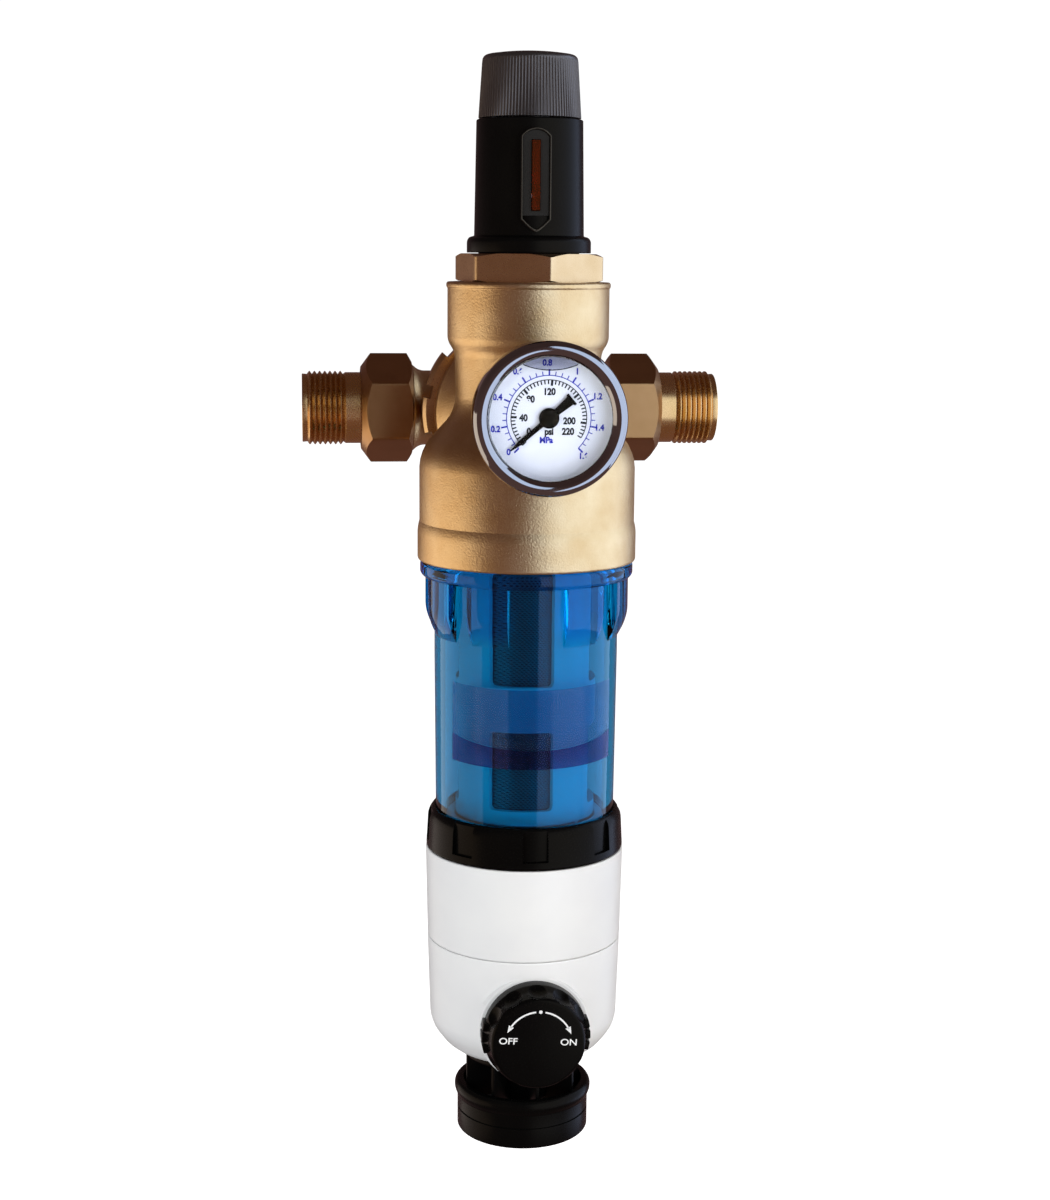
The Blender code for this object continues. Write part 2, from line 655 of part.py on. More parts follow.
def make_connector():
    """The pipe run: inlet on the left, outlet on the right, and concentric ports to the filter."""
    half = [
        (PIPE_R, PLAIN_HALF),
        (SHOULDER_R, PLAIN_HALF + SHOULDER_RUN),
        (UNION_THREAD_R, PLAIN_HALF + SHOULDER_RUN),
        (UNION_THREAD_R, THREAD_END),
        (0, THREAD_END),
    ]
    outline = [(radius, -height) for radius, height in reversed(half)] + half
    connector = turned("pipe_connector", outline, BRASS, None, stand=RIGHT)
    port = [
        (0, PORT_ROOT),
        (PIPE_R - OVERLAP, PORT_ROOT),
        (PORT_NECK_R, RAW_PORT_FLOOR - PORT_ROOT),
        (PORT_NECK_R, PORT_REACH - PORT_COLLAR),
        (PORT_COLLAR_R, PORT_REACH - PORT_COLLAR),
        (PORT_COLLAR_R, PORT_REACH),
        (0, PORT_REACH),
    ]
    combine(connector, "UNION", turned("connector_port", port, None, None, stand=FRONT))
    inlet = cylinder("inlet_bore", PIPE_BORE_R, INLET_STOP, THREAD_END + OVERLAP, None, stand=LEFT)
    outlet = cylinder("outlet_bore", PIPE_BORE_R, -OUTLET_STOP, THREAD_END + OVERLAP, None, stand=RIGHT)
    clean = cylinder("clean_port", CLEAN_PORT_R, 0, PORT_REACH + OVERLAP, None, stand=FRONT)
    ring = ring_outline(RAW_PORT_INNER_R, RAW_PORT_OUTER_R, RAW_PORT_FLOOR, PORT_REACH + OVERLAP)
    raw = turned("raw_port", ring, None, None, stand=FRONT, steps=MEDIUM)
    depth = RAW_PORT_FLOOR + OVERLAP - PORT_ROOT
    sides = (RAW_WINDOW, depth, 2 * RAW_WINDOW_HALF)
    centre = (-(RAW_PORT_OUTER_R + INLET_STOP) / 2, -(PORT_ROOT + depth / 2), 0)
    window = box("raw_window", sides, centre, None, None)
    for tool in (inlet, outlet, clean, raw, window):
        combine(connector, "DIFFERENCE", tool)


def make_union(side, stand):
    """One end of the pipe run: gasket, tailpiece and the hexagon nut that draws them together."""
    gasket = ring_outline(
        PIPE_BORE_R + GAP, UNION_THREAD_R - GAP, UNION_GASKET_START, UNION_GASKET_START + UNION_GASKET
    )
    turned(side + "_union_gasket", gasket, RUBBER, None, stand=stand)
    tail = [
        (TAIL_BORE_R, TAIL_COLLAR_START),
        (UNION_THREAD_R, TAIL_COLLAR_START),
        (UNION_THREAD_R, TAIL_COLLAR_END),
        (TAIL_R, TAIL_COLLAR_END),
        (TAIL_R, TAIL_END - TAIL_CHAMFER),
        (TAIL_R - TAIL_CHAMFER, TAIL_END),
        (TAIL_BORE_R, TAIL_END),
    ]
    turned(side + "_tailpiece", tail, BRASS, None, stand=stand)
    nut = hexagon(side + "_union_nut", NUT_FLATS, NUT_START, NUT_END, pi / 2, BRASS, None, stand=stand)
    corner = NUT_FLATS / 2 / cos(pi / 6) + OVERLAP
    thread = UNION_THREAD_R + GAP
    outline = [
        (thread, NUT_START - OVERLAP),
        (thread + OVERLAP, NUT_START - OVERLAP),
        (thread + OVERLAP, NUT_START),
        (corner, NUT_START + NUT_CHAMFER),
        (corner, NUT_END - NUT_CHAMFER),
        (NUT_NOSE_R, NUT_END),
        (NUT_NOSE_R, NUT_END + OVERLAP),
        (TAIL_R + RUNNING_GAP, NUT_END + OVERLAP),
        (TAIL_R + RUNNING_GAP, NUT_END - NUT_LIP),
        (thread, NUT_END - NUT_LIP),
    ]
    combine(nut, "INTERSECT", turned(side + "_nut_form", outline, None, None, stand=stand))


def make_coupling_nut(swivel):
    """The slotted ring behind the body that hooks over the connector's collar."""
    inner = PORT_COLLAR_R + GAP
    outline = [
        (PORT_NECK_R + GAP, COUPLING_REAR),
        (COUPLING_R - COUPLING_CHAMFER / 2, COUPLING_REAR),
        (COUPLING_R, COUPLING_REAR + COUPLING_CHAMFER / 2),
        (COUPLING_R, COUPLING_FRONT - COUPLING_CHAMFER),
        (COUPLING_R - COUPLING_CHAMFER, COUPLING_FRONT),
        (inner, COUPLING_FRONT),
        (inner, COUPLING_REAR + COUPLING_LIP),
        (PORT_NECK_R + GAP, COUPLING_REAR + COUPLING_LIP),
    ]
    nut = turned("coupling_nut", outline, BRASS, swivel, stand=FRONT)
    sides = (SLOT_DEPTH + OVERLAP, SLOT_WIDTH, COUPLING_LENGTH + 2 * OVERLAP)
    centre = (COUPLING_R - SLOT_DEPTH + sides[0] / 2, 0, (COUPLING_FRONT + COUPLING_REAR) / 2)
    slots = fan(lambda: box_shape(sides, centre), evenly(SLOTS, SLOT_TURN))
    combine(nut, "DIFFERENCE", piece("coupling_slots", slots, None, swivel, stand=FRONT))


def body_outline():
    return [
        (0, BODY_BOTTOM),
        (BAND_R, BODY_BOTTOM),
        (BAND_R, BAND_TOP),
        (LOWER_R, BAND_TOP),
        (LOWER_R, CONE_BOTTOM),
        (NECK_R, NECK_BOTTOM),
        (NECK_TOP_R, NECK_TOP),
        (UPPER_R, NECK_TOP + UPPER_CHAMFER_RISE),
        (UPPER_R, BODY_TOP - BEAD_HEIGHT),
        (BEAD_R, BODY_TOP - BEAD_HEIGHT * 0.7),
        (BEAD_R, BODY_TOP - BEAD_HEIGHT * 0.3),
        (UPPER_R, BODY_TOP),
        (0, BODY_TOP),
    ]


def port_outline():
    """The rear port: a flared neck, a round flange and the threaded spigot behind it."""
    flange_front = FLANGE_BACK - FLANGE
    return [
        (0, 0),
        (FLANGE_NECK_R, 0),
        (FLANGE_NECK_R, flange_front - FLANGE_FLARE),
        (FLANGE_R - OVERLAP, flange_front),
        (FLANGE_R, flange_front + OVERLAP),
        (FLANGE_R, FLANGE_BACK),
        (PORT_COLLAR_R, FLANGE_BACK),
        (PORT_COLLAR_R, BODY_REACH),
        (0, BODY_REACH),
    ]


def column_room(radius, reach):
    """The room outside the body that a round piece of this radius needs, from this reach out."""
    far = reach + BAND_R
    return [(0, reach), (radius, reach), (radius, far), (0, far)]


def make_body(column):
    """The cast brass body, with a lower and an upper chamber on either side of a web."""
    body = turned("filter_body", body_outline(), BRASS, column)
    gauge_place = (0, 0, GAUGE_HEIGHT)
    nut_room = column_room(COUPLING_R + RUNNING_GAP, FLANGE_BACK)
    washer_room = column_room(GAUGE_WASHER_R + RUNNING_GAP, GAUGE_BOSS_REACH)
    for tool in (
        turned("coupling_relief", nut_room, None, column, stand=BACK),
        turned("washer_spot_face", washer_room, None, column, gauge_place, FRONT),
    ):
        combine(body, "DIFFERENCE", tool)
    rear = turned("body_port", port_outline(), None, column, stand=BACK)
    boss = cylinder("gauge_boss", GAUGE_BOSS_R, 0, GAUGE_BOSS_REACH, column, gauge_place, FRONT)
    for tool in (rear, boss):
        combine(body, "UNION", tool)
    thread = BOWL_THREAD_R + GAP
    thread_top = BOWL_TOP + BOWL_THREAD_LENGTH + GAP
    lower = [
        (0, BODY_BOTTOM - OVERLAP),
        (thread, BODY_BOTTOM - OVERLAP),
        (thread, thread_top),
        (LOWER_CHAMBER_R, thread_top),
        (LOWER_CHAMBER_R, WEB_BOTTOM - LOWER_CHAMBER_SLOPE),
        (LOWER_CHAMBER_ROOF_R, WEB_BOTTOM),
        (0, WEB_BOTTOM),
    ]
    upper = [
        (0, WEB_TOP),
        (UPPER_CHAMBER_R, WEB_TOP),
        (UPPER_CHAMBER_R, LEDGE),
        (BONNET_BORE_R, LEDGE),
        (BONNET_BORE_R, BODY_TOP + OVERLAP),
        (0, BODY_TOP + OVERLAP),
    ]
    face = BODY_REACH + OVERLAP
    raw = ring_outline(RAW_PORT_INNER_R, RAW_PORT_OUTER_R, UPPER_CHAMBER_R + RAW_PORT_WALL, face)
    tap = GAUGE_THREAD_R + GAP
    tools = [
        turned("lower_chamber", lower, None, column),
        turned("upper_chamber", upper, None, column),
        cylinder("web_hole", WEB_HOLE_R, WEB_BOTTOM - OVERLAP, WEB_TOP + OVERLAP, column),
        cylinder("clean_way", CLEAN_PORT_R, WEB_HOLE_R + CLEAN_PORT_WALL, face, column, stand=BACK),
        turned("raw_way", raw, None, column, stand=BACK, steps=MEDIUM),
        cylinder(
            "gauge_tap", tap, UPPER_CHAMBER_R - OVERLAP, GAUGE_BOSS_REACH + OVERLAP, column,
            gauge_place, FRONT, COARSE
        ),
    ]
    for name, radius in (("inner", INNER_SEAL_R), ("outer", OUTER_SEAL_R)):
        half = SEAL_GROOVE_WIDTH / 2
        outline = ring_outline(radius - half, radius + half, BODY_REACH - SEAL_GROOVE, face)
        tools.append(turned(name + "_seal_groove", outline, None, column, stand=BACK, steps=MEDIUM))
    for tool in tools:
        combine(body, "DIFFERENCE", tool)


def make_port_seals(column):
    for name, radius in (("inner", INNER_SEAL_R), ("outer", OUTER_SEAL_R)):
        half = SEAL_GROOVE_WIDTH / 2 - GAP
        outline = ring_outline(radius - half, radius + half, BODY_REACH - SEAL_GROOVE + GAP, BODY_REACH)
        turned(name + "_port_seal", outline, RUBBER, column, stand=BACK, steps=MEDIUM)


def make_valve(column, valve_axis):
    """The reducing valve's seat, and the stem, disc and plates that move up to close it."""
    sleeve = WEB_HOLE_R - GAP
    flange = WEB_TOP + GAP
    insert = [
        (SEAT_BORE_R, SEAT_LEVEL),
        (SEAT_BORE_R + OVERLAP, SEAT_LEVEL),
        (SEAT_BORE_R + 2 * OVERLAP, SEAT_LEVEL + OVERLAP),
        (sleeve, SEAT_LEVEL + OVERLAP),
        (sleeve, flange),
        (SEAT_FLANGE_R, flange),
        (SEAT_FLANGE_R, flange + SEAT_FLANGE),
        (SEAT_BORE_R, flange + SEAT_FLANGE),
    ]
    turned("valve_seat", insert, STEEL, column, steps=MEDIUM)
    disc_bottom = DISC_TOP - SEAT_DISC
    disc = ring_outline(STEM_R + GAP, SEAT_DISC_R, disc_bottom, DISC_TOP)
    turned("valve_disc", disc, RUBBER, valve_axis, steps=MEDIUM)
    stem = [
        (0, disc_bottom - GAP - STEM_WASHER),
        (STEM_WASHER_R, disc_bottom - GAP - STEM_WASHER),
        (STEM_WASHER_R, disc_bottom - GAP),
        (STEM_R, disc_bottom - GAP),
        (STEM_R, DISC_TOP + GAP),
        (STEM_SHOULDER_R, DISC_TOP + GAP),
        (STEM_SHOULDER_R, STEM_PLATE_TOP - STEM_PLATE),
        (STEM_PLATE_R, STEM_PLATE_TOP - STEM_PLATE),
        (STEM_PLATE_R, STEM_PLATE_TOP),
        (STEM_HUB_R, STEM_PLATE_TOP),
        (STEM_HUB_R, HUB_TOP),
        (STEM_R, HUB_TOP),
        (STEM_R, STEM_TOP),
        (0, STEM_TOP),
    ]
    turned("valve_stem", stem, STEEL, valve_axis, steps=MEDIUM)
    plate = [
        (STEM_R + GAP, HUB_TOP + GAP),
        (UPPER_PLATE_HUB_R, HUB_TOP + GAP),
        (UPPER_PLATE_HUB_R, UPPER_PLATE_BOTTOM),
        (UPPER_PLATE_R, UPPER_PLATE_BOTTOM),
        (UPPER_PLATE_R, UPPER_PLATE_TOP),
        (STEM_R + GAP, UPPER_PLATE_TOP),
    ]
    turned("diaphragm_plate", plate, STEEL, valve_axis, steps=MEDIUM)
    low = UPPER_PLATE_TOP + GAP
    nut = hexagon("stem_nut", STEM_NUT_FLATS, low, low + STEM_NUT, 0, STEEL, valve_axis)
    combine(nut, "DIFFERENCE", cylinder("stem_nut_bore", STEM_R + GAP, low - OVERLAP,
                                        low + STEM_NUT + OVERLAP, valve_axis, steps=COARSE))


def make_diaphragm(column):
    """The rubber diaphragm with its rolled fold, and the slip ring that the hexagon ring turns on."""
    outer = BONNET_BORE_R - GAP
    fold = FOLD_INNER_R
    end = fold + FOLD_WIDTH
    rim = FOLD_WIDTH / 4
    outline = [
        (STEM_HUB_R + GAP, DIAPHRAGM_BOTTOM),
        (fold + rim, DIAPHRAGM_BOTTOM),
        (fold + 1.6 * rim, DIAPHRAGM_BOTTOM + FOLD_RISE),
        (end - 1.6 * rim, DIAPHRAGM_BOTTOM + FOLD_RISE),
        (end - rim, DIAPHRAGM_BOTTOM),
        (outer, DIAPHRAGM_BOTTOM),
        (outer, DIAPHRAGM_TOP),
        (end, DIAPHRAGM_TOP),
        (end - rim, DIAPHRAGM_TOP + FOLD_RISE),
        (fold + rim, DIAPHRAGM_TOP + FOLD_RISE),
        (fold, DIAPHRAGM_TOP),
        (STEM_HUB_R + GAP, DIAPHRAGM_TOP),
    ]
    turned("diaphragm", outline, RUBBER, column, steps=MEDIUM)
    ring = ring_outline(outer - SLIP_RING_WIDTH, outer, DIAPHRAGM_TOP + GAP, SLIP_RING_TOP)
    turned("slip_ring", ring, COPPER, column, steps=MEDIUM)


def make_hex_ring(column):
    """The brass hexagon ring that screws into the body and carries the spring bonnet."""
    corner = HEX_FLATS / 2 / cos(pi / 6) + OVERLAP
    spigot = BONNET_BORE_R - GAP
    bottom = SLIP_RING_TOP + GAP
    wide = spigot - SLIP_RING_WIDTH
    thread = BONNET_THREAD_R + GAP
    step = BONNET_THREAD_BOTTOM - GAP
    ring = hexagon("bonnet_hex_ring", HEX_FLATS, bottom, HEX_TOP, HEX_TURN, BRASS, column)
    outline = [
        (wide, bottom - OVERLAP),
        (spigot, bottom - OVERLAP),
        (spigot, HEX_BOTTOM),
        (corner - HEX_CHAMFER, HEX_BOTTOM),
        (corner, HEX_BOTTOM + HEX_CHAMFER / 2),
        (corner, HEX_TOP - HEX_CHAMFER),
        (corner - 2 * HEX_CHAMFER, HEX_TOP),
        (corner - 2 * HEX_CHAMFER, HEX_TOP + OVERLAP),
        (thread, HEX_TOP + OVERLAP),
        (thread, step),
        (wide, step),
    ]
    combine(ring, "INTERSECT", turned("hex_ring_form", outline, None, column))


def make_bonnet(column):
    """The black spring bonnet, with a framed window for the setting indicator at its front."""
    outline = [
        (BONNET_BORE, BONNET_THREAD_BOTTOM),
        (BONNET_THREAD_R, BONNET_THREAD_BOTTOM),
        (BONNET_THREAD_R, BONNET_FLANGE_BOTTOM),
        (BONNET_FLANGE_R, BONNET_FLANGE_BOTTOM),
        (BONNET_FLANGE_R, BONNET_FLANGE_TOP - OVERLAP),
        (BONNET_FLANGE_R - OVERLAP, BONNET_FLANGE_TOP),
        (BONNET_R, BONNET_FLANGE_TOP),
        (BONNET_TOP_R, BONNET_TOP),
        (SPINDLE_NECK_R + GAP, BONNET_TOP),
        (SPINDLE_NECK_R + GAP, BONNET_TOP - BONNET_ROOF),
        (BONNET_BORE, BONNET_TOP - BONNET_ROOF),
    ]
    bonnet = turned("spring_bonnet", outline, BLACK, column)
    front = BONNET_R + WINDOW_FRAME_PROUD
    back = BONNET_BORE + OVERLAP
    frame_low = BONNET_FLANGE_TOP + WINDOW_FRAME_FOOT
    frame = box(
        "window_frame",
        (WINDOW_FRAME_WIDTH, front - back, WINDOW_FRAME_HEIGHT),
        (0, -(front + back) / 2, frame_low + WINDOW_FRAME_HEIGHT / 2),
        None,
        column,
    )
    combine(bonnet, "UNION", frame)
    sill = BONNET_FLANGE_TOP + WINDOW_SILL
    middle = sill + WINDOW_HEIGHT / 2
    slot_front = front + OVERLAP
    slot_back = BONNET_BORE - 2 * OVERLAP
    slot = box(
        "window_slot",
        (WINDOW_WIDTH, slot_front - slot_back, WINDOW_HEIGHT),
        (0, -(slot_front + slot_back) / 2, middle),
        None,
        column,
    )
    combine(bonnet, "DIFFERENCE", slot)
    box(
        "window_lens",
        (WINDOW_WIDTH - 2 * GAP, WINDOW_LENS, WINDOW_HEIGHT - 2 * GAP),
        (0, -(front - WINDOW_LENS / 2), middle),
        CLEAR,
        column,
    )


def make_spring(plate_axis):
    """The setting spring, as a round wire wound from the diaphragm plate to the spring plate."""
    curve = bpy.data.curves.new("setting_spring", "CURVE")
    curve.dimensions = "3D"
    curve.bevel_depth = SPRING_WIRE_R
    curve.bevel_resolution = 1
    curve.use_fill_caps = True
    curve.materials.append(material(STEEL))
    low = SPRING_BOTTOM + SPRING_WIRE_R
    high = SPRING_PLATE_BOTTOM - GAP - SPRING_WIRE_R
    count = SPRING_TURNS * 10 + 1
    spline = curve.splines.new("POLY")
    spline.points.add(count - 1)
    for index in range(count):
        share = index / (count - 1)
        angle = share * SPRING_TURNS * tau
        spline.points[index].co = (
            SPRING_R * cos(angle),
            SPRING_R * sin(angle),
            low + (high - low) * share,
            1,
        )
    spring = bpy.data.objects.new("setting_spring", curve)
    spring.parent = plate_axis
    bpy.context.scene.collection.objects.link(spring)


def make_spring_plate(plate_axis):
    """The plate that the spindle screws up and down, kept from turning by its red key."""
    outline = ring_outline(
        SPINDLE_R + GAP, BONNET_BORE - RUNNING_GAP, SPRING_PLATE_BOTTOM, SPRING_PLATE_BOTTOM + SPRING_PLATE
    )
    plate = turned("spring_plate", outline, RED, plate_axis, steps=MEDIUM)
    tip = BONNET_R + WINDOW_FRAME_PROUD - WINDOW_LENS - RUNNING_GAP
    root = BONNET_BORE - 2 * OVERLAP
    key = box(
        "indicator_key",
        (SPRING_PLATE_KEY, tip - root, SPRING_PLATE),
        (0, -(tip + root) / 2, SPRING_PLATE_BOTTOM + SPRING_PLATE / 2),
        None,
        plate_axis,
    )
    combine(plate, "UNION", key)


def make_setting_knob(column):
    """The spindle that drives the spring plate, and the grey knob on its head."""
    axis = pivot("setting_axis", (0, 0, KNOB_BOTTOM), column)
    spindle_low = SPRING_PLATE_BOTTOM - SPINDLE_TAIL
    spindle = [
        (0, spindle_low),
        (SPINDLE_R, spindle_low),
        (SPINDLE_R, COLLAR_TOP - SPINDLE_COLLAR),
        (SPINDLE_COLLAR_R, COLLAR_TOP - SPINDLE_COLLAR),
        (SPINDLE_COLLAR_R, COLLAR_TOP),
        (SPINDLE_NECK_R, COLLAR_TOP),
        (SPINDLE_NECK_R, SPINDLE_TOP),
        (0, SPINDLE_TOP),
    ]
    lowered = [(radius, height - KNOB_BOTTOM) for radius, height in spindle]
    turned("setting_spindle", lowered, COPPER, axis, steps=MEDIUM)
    socket = SPINDLE_NECK_R + GAP
    socket_top = SPINDLE_TOP + GAP - KNOB_BOTTOM
    roof = KNOB_SIDE - KNOB_WALL
    knob = [
        (0, socket_top),
        (socket, socket_top),
        (socket, 0),
        (KNOB_HUB_R, 0),
        (KNOB_HUB_R, roof),
        (KNOB_TOP_R - KNOB_WALL, roof),
        (KNOB_R - KNOB_WALL, 0),
        (KNOB_R, 0),
        (KNOB_TOP_R, KNOB_SIDE - OVERLAP),
        (KNOB_TOP_R - OVERLAP, KNOB_SIDE + 0.2 * KNOB_DOME),
        (KNOB_TOP_R * 0.6, KNOB_SIDE + 0.75 * KNOB_DOME),
        (0, KNOB_SIDE + KNOB_DOME),
    ]
    turned("setting_knob", knob, GREY, axis)


def make_gauge_case(gauge):
    """The gauge's washer, socket, case, bezel ring, lens and dial, along its axis."""
    washer = ring_outline(
        GAUGE_THREAD_R + GAP, GAUGE_WASHER_R, GAUGE_BOSS_REACH + GAP, GAUGE_BOSS_REACH + GAP + GAUGE_WASHER
    )
    turned("gauge_washer", washer, COPPER, gauge, stand=FRONT, steps=COARSE)
    corner = GAUGE_HEX_FLATS / 2 / cos(pi / 6)
    thread_end = GAUGE_BOSS_REACH - GAUGE_THREAD_LENGTH
    hex_front = GAUGE_HEX_BACK + GAUGE_HEX
    socket = [
        (0, GAUGE_STEM_FRONT - 3 * OVERLAP),
        (GAUGE_BORE_R, GAUGE_STEM_FRONT - 3 * OVERLAP),
        (GAUGE_BORE_R, thread_end),
        (GAUGE_THREAD_R, thread_end),
        (GAUGE_THREAD_R, GAUGE_HEX_BACK),
        (corner, GAUGE_HEX_BACK),
        (corner, hex_front),
        (GAUGE_NECK_R, hex_front),
        (GAUGE_NECK_R, GAUGE_STEM_FRONT),
        (0, GAUGE_STEM_FRONT),
    ]
    stem = turned("gauge_socket", socket, BRASS, gauge, stand=FRONT, steps=COARSE)
    form = hexagon("gauge_hex", GAUGE_HEX_FLATS, thread_end - OVERLAP, GAUGE_STEM_FRONT + OVERLAP,
                   0, None, gauge, stand=FRONT)
    combine(stem, "INTERSECT", form)
    hole = GAUGE_NECK_R + GAP
    case = [
        (hole, CASE_BACK),
        (CASE_R - 2 * OVERLAP, CASE_BACK),
        (CASE_R, CASE_BACK + 2 * OVERLAP),
        (CASE_R, CASE_FRONT),
        (CASE_R - CASE_WALL, CASE_FRONT),
        (CASE_R - CASE_WALL, CASE_BACK + CASE_WALL + OVERLAP),
        (CASE_R - CASE_WALL - OVERLAP, CASE_BACK + CASE_WALL),
        (hole, CASE_BACK + CASE_WALL),
    ]
    turned("gauge_case", case, STEEL, gauge, stand=FRONT)
    seat = CASE_R + GAP
    front = BEZEL_LIP + BEZEL_FRONT
    bezel = [
        (seat, BEZEL_BACK),
        (BEZEL_R - OVERLAP / 2, BEZEL_BACK),
        (BEZEL_R, BEZEL_BACK + OVERLAP),
        (BEZEL_R, front - 2 * OVERLAP),
        (BEZEL_R - OVERLAP * 1.5, front),
        (BEZEL_OPENING_R + 2 * OVERLAP, front),
        (BEZEL_OPENING_R, front - 1.6 * OVERLAP),
        (BEZEL_OPENING_R, BEZEL_LIP),
        (seat, BEZEL_LIP),
    ]
    turned("gauge_bezel", bezel, CHROME, gauge, stand=FRONT)
    lens = [(0, LENS_BACK), (CASE_R, LENS_BACK), (CASE_R, LENS_BACK + LENS), (0, LENS_BACK + LENS)]
    turned("gauge_lens", lens, CLEAR, gauge, stand=FRONT)
    dial = ring_outline(POINTER_SPINDLE_R + GAP, CASE_R - CASE_WALL - GAP, DIAL_FACE - DIAL, DIAL_FACE)
    turned("gauge_dial", dial, DIAL_WHITE, gauge, stand=FRONT, steps=MEDIUM)


def make_gauge_works(gauge):
    """The bent pressure tube, the movement's two plates on pillars, and the pointer at zero."""
    plate_low = MOVEMENT_BACK + MOVEMENT_PLATE / 2
    plate_high = MOVEMENT_BACK + MOVEMENT_DEPTH - MOVEMENT_PLATE / 2
    sides = (MOVEMENT_WIDTH, MOVEMENT_HEIGHT, MOVEMENT_PLATE)
    movement = box("gauge_movement", sides, (0, 0, plate_low), BRASS, gauge, stand=FRONT)
    combine(movement, "UNION", box("front_plate", sides, (0, 0, plate_high), None, gauge, stand=FRONT))
    reach = MOVEMENT_WIDTH / 2 - 2 * PILLAR_R
    for name, offset in (("left_pillar", -reach), ("right_pillar", reach)):
        pillar = cylinder(name, PILLAR_R, plate_low, plate_high, gauge, (offset, 0, 0), FRONT, COARSE)
        combine(movement, "UNION", pillar)
    bore = cylinder("movement_bore", POINTER_SPINDLE_R + GAP, MOVEMENT_BACK - OVERLAP,
                    MOVEMENT_BACK + MOVEMENT_DEPTH + OVERLAP, gauge, stand=FRONT, steps=COARSE)
    combine(movement, "DIFFERENCE", bore)

    curve = bpy.data.curves.new("pressure_tube", "CURVE")
    curve.dimensions = "3D"
    curve.bevel_depth = TUBE_R
    curve.bevel_resolution = 1
    curve.use_fill_caps = True
    curve.materials.append(material(COPPER))
    level = -(CASE_BACK + CASE_WALL + GAP + TUBE_R)
    route = [(0, level, -(GAUGE_NECK_R + GAP)), (0, level, -(TUBE_BEND_R - 3 * TUBE_R))]
    bends = 18
    for index in range(bends + 1):
        angle = radians(-90) + 2 * TUBE_R / TUBE_BEND_R + TUBE_SWEEP * index / bends
        route.append((TUBE_BEND_R * cos(angle), level, TUBE_BEND_R * sin(angle)))
    spline = curve.splines.new("POLY")
    spline.points.add(len(route) - 1)
    for point, place in zip(spline.points, route):
        point.co = (*place, 1)
    tube = bpy.data.objects.new("pressure_tube", curve)
    tube.parent = gauge
    bpy.context.scene.collection.objects.link(tube)

    axis = pivot("pointer_axis", AT_ORIGIN, gauge)
    half = POINTER_WIDTH / 2
    blade = [
        (-half, -POINTER_TAIL),
        (half, -POINTER_TAIL),
        (half * 0.55, -POINTER_HUB_R),
        (half * 0.7, POINTER_HUB_R),
        (OVERLAP * 0.2, POINTER_TIP),
        (-OVERLAP * 0.2, POINTER_TIP),
        (-half * 0.7, POINTER_HUB_R),
        (-half * 0.55, -POINTER_HUB_R),
    ]
    turn = ZERO_TURN
    shape = bmesh.new()
    corners = [
        shape.verts.new((x * cos(turn) + z * sin(turn), z * cos(turn) - x * sin(turn), POINTER_BACK))
        for x, z in blade
    ]
    face = shape.faces.new(corners)
    made = bmesh.ops.extrude_face_region(shape, geom=[face])["geom"]
    raised = [item for item in made if isinstance(item, bmesh.types.BMVert)]
    bmesh.ops.translate(shape, vec=(0, 0, POINTER), verts=raised)
    pointer = piece("gauge_pointer", shape, BLACK, axis, stand=FRONT)
    outline = [
        (0, MOVEMENT_BACK + MOVEMENT_PLATE),
        (POINTER_SPINDLE_R, MOVEMENT_BACK + MOVEMENT_PLATE),
        (POINTER_SPINDLE_R, POINTER_BACK - GAP),
        (POINTER_HUB_R, POINTER_BACK - GAP),
        (POINTER_HUB_R, POINTER_BACK - GAP + POINTER_HUB),
        (0, POINTER_BACK - GAP + POINTER_HUB),
    ]
    combine(pointer, "UNION", turned("pointer_hub", outline, None, axis, stand=FRONT, steps=COARSE))


def make_bowl(column):
    """The clear bowl: threaded into the body, with a collar and eight wrench lugs below it."""
    top = BOWL_TOP + BOWL_THREAD_LENGTH
    edge = BOWL_COLLAR_EDGE
    groove_top = BOWL_TOP + BOWL_THREAD_LENGTH * 0.6
    outline = [
        (BOWL_BORE_R, BOWL_END),
        (BOWL_FOOT_R, BOWL_END),
        (BOWL_FOOT_R, RING_TOP),
        (BOWL_R, BOWL_COLLAR_BOTTOM - BOWL_STRAIGHT),
        (BOWL_R, BOWL_COLLAR_BOTTOM),
        (BOWL_COLLAR_R - edge, BOWL_COLLAR_BOTTOM),
        (BOWL_COLLAR_R, BOWL_COLLAR_BOTTOM + edge),
        (BOWL_COLLAR_R, BOWL_TOP - edge),
        (BOWL_COLLAR_R - edge, BOWL_TOP),
        (BOWL_THREAD_R, BOWL_TOP),
        *reversed(groove(BOWL_THREAD_R, groove_top)),
        (BOWL_THREAD_R, top),
        (BOWL_BORE_R, top),
    ]
    bowl = turned("filter_bowl", outline, BLUE, column)
    lug_top = BOWL_COLLAR_BOTTOM + edge / 2
    lug_low = BOWL_COLLAR_BOTTOM - LUG_DROP - LUG_HEIGHT
    root = BOWL_R - OVERLAP
    lug = [(root, lug_low - LUG_TAPER), (LUG_R, lug_low), (LUG_R, lug_top), (root, lug_top)]
    front = radians(-90)
    lugs = fan(
        lambda: spun(lug, 3, LUG_SWEEP, front - LUG_SWEEP / 2),
        [radians(angle) for angle in LUG_ANGLES],
    )
    combine(bowl, "UNION", piece("bowl_lugs", lugs, None, column))
    oring("bowl_oring", BOWL_THREAD_R, groove_top, column)


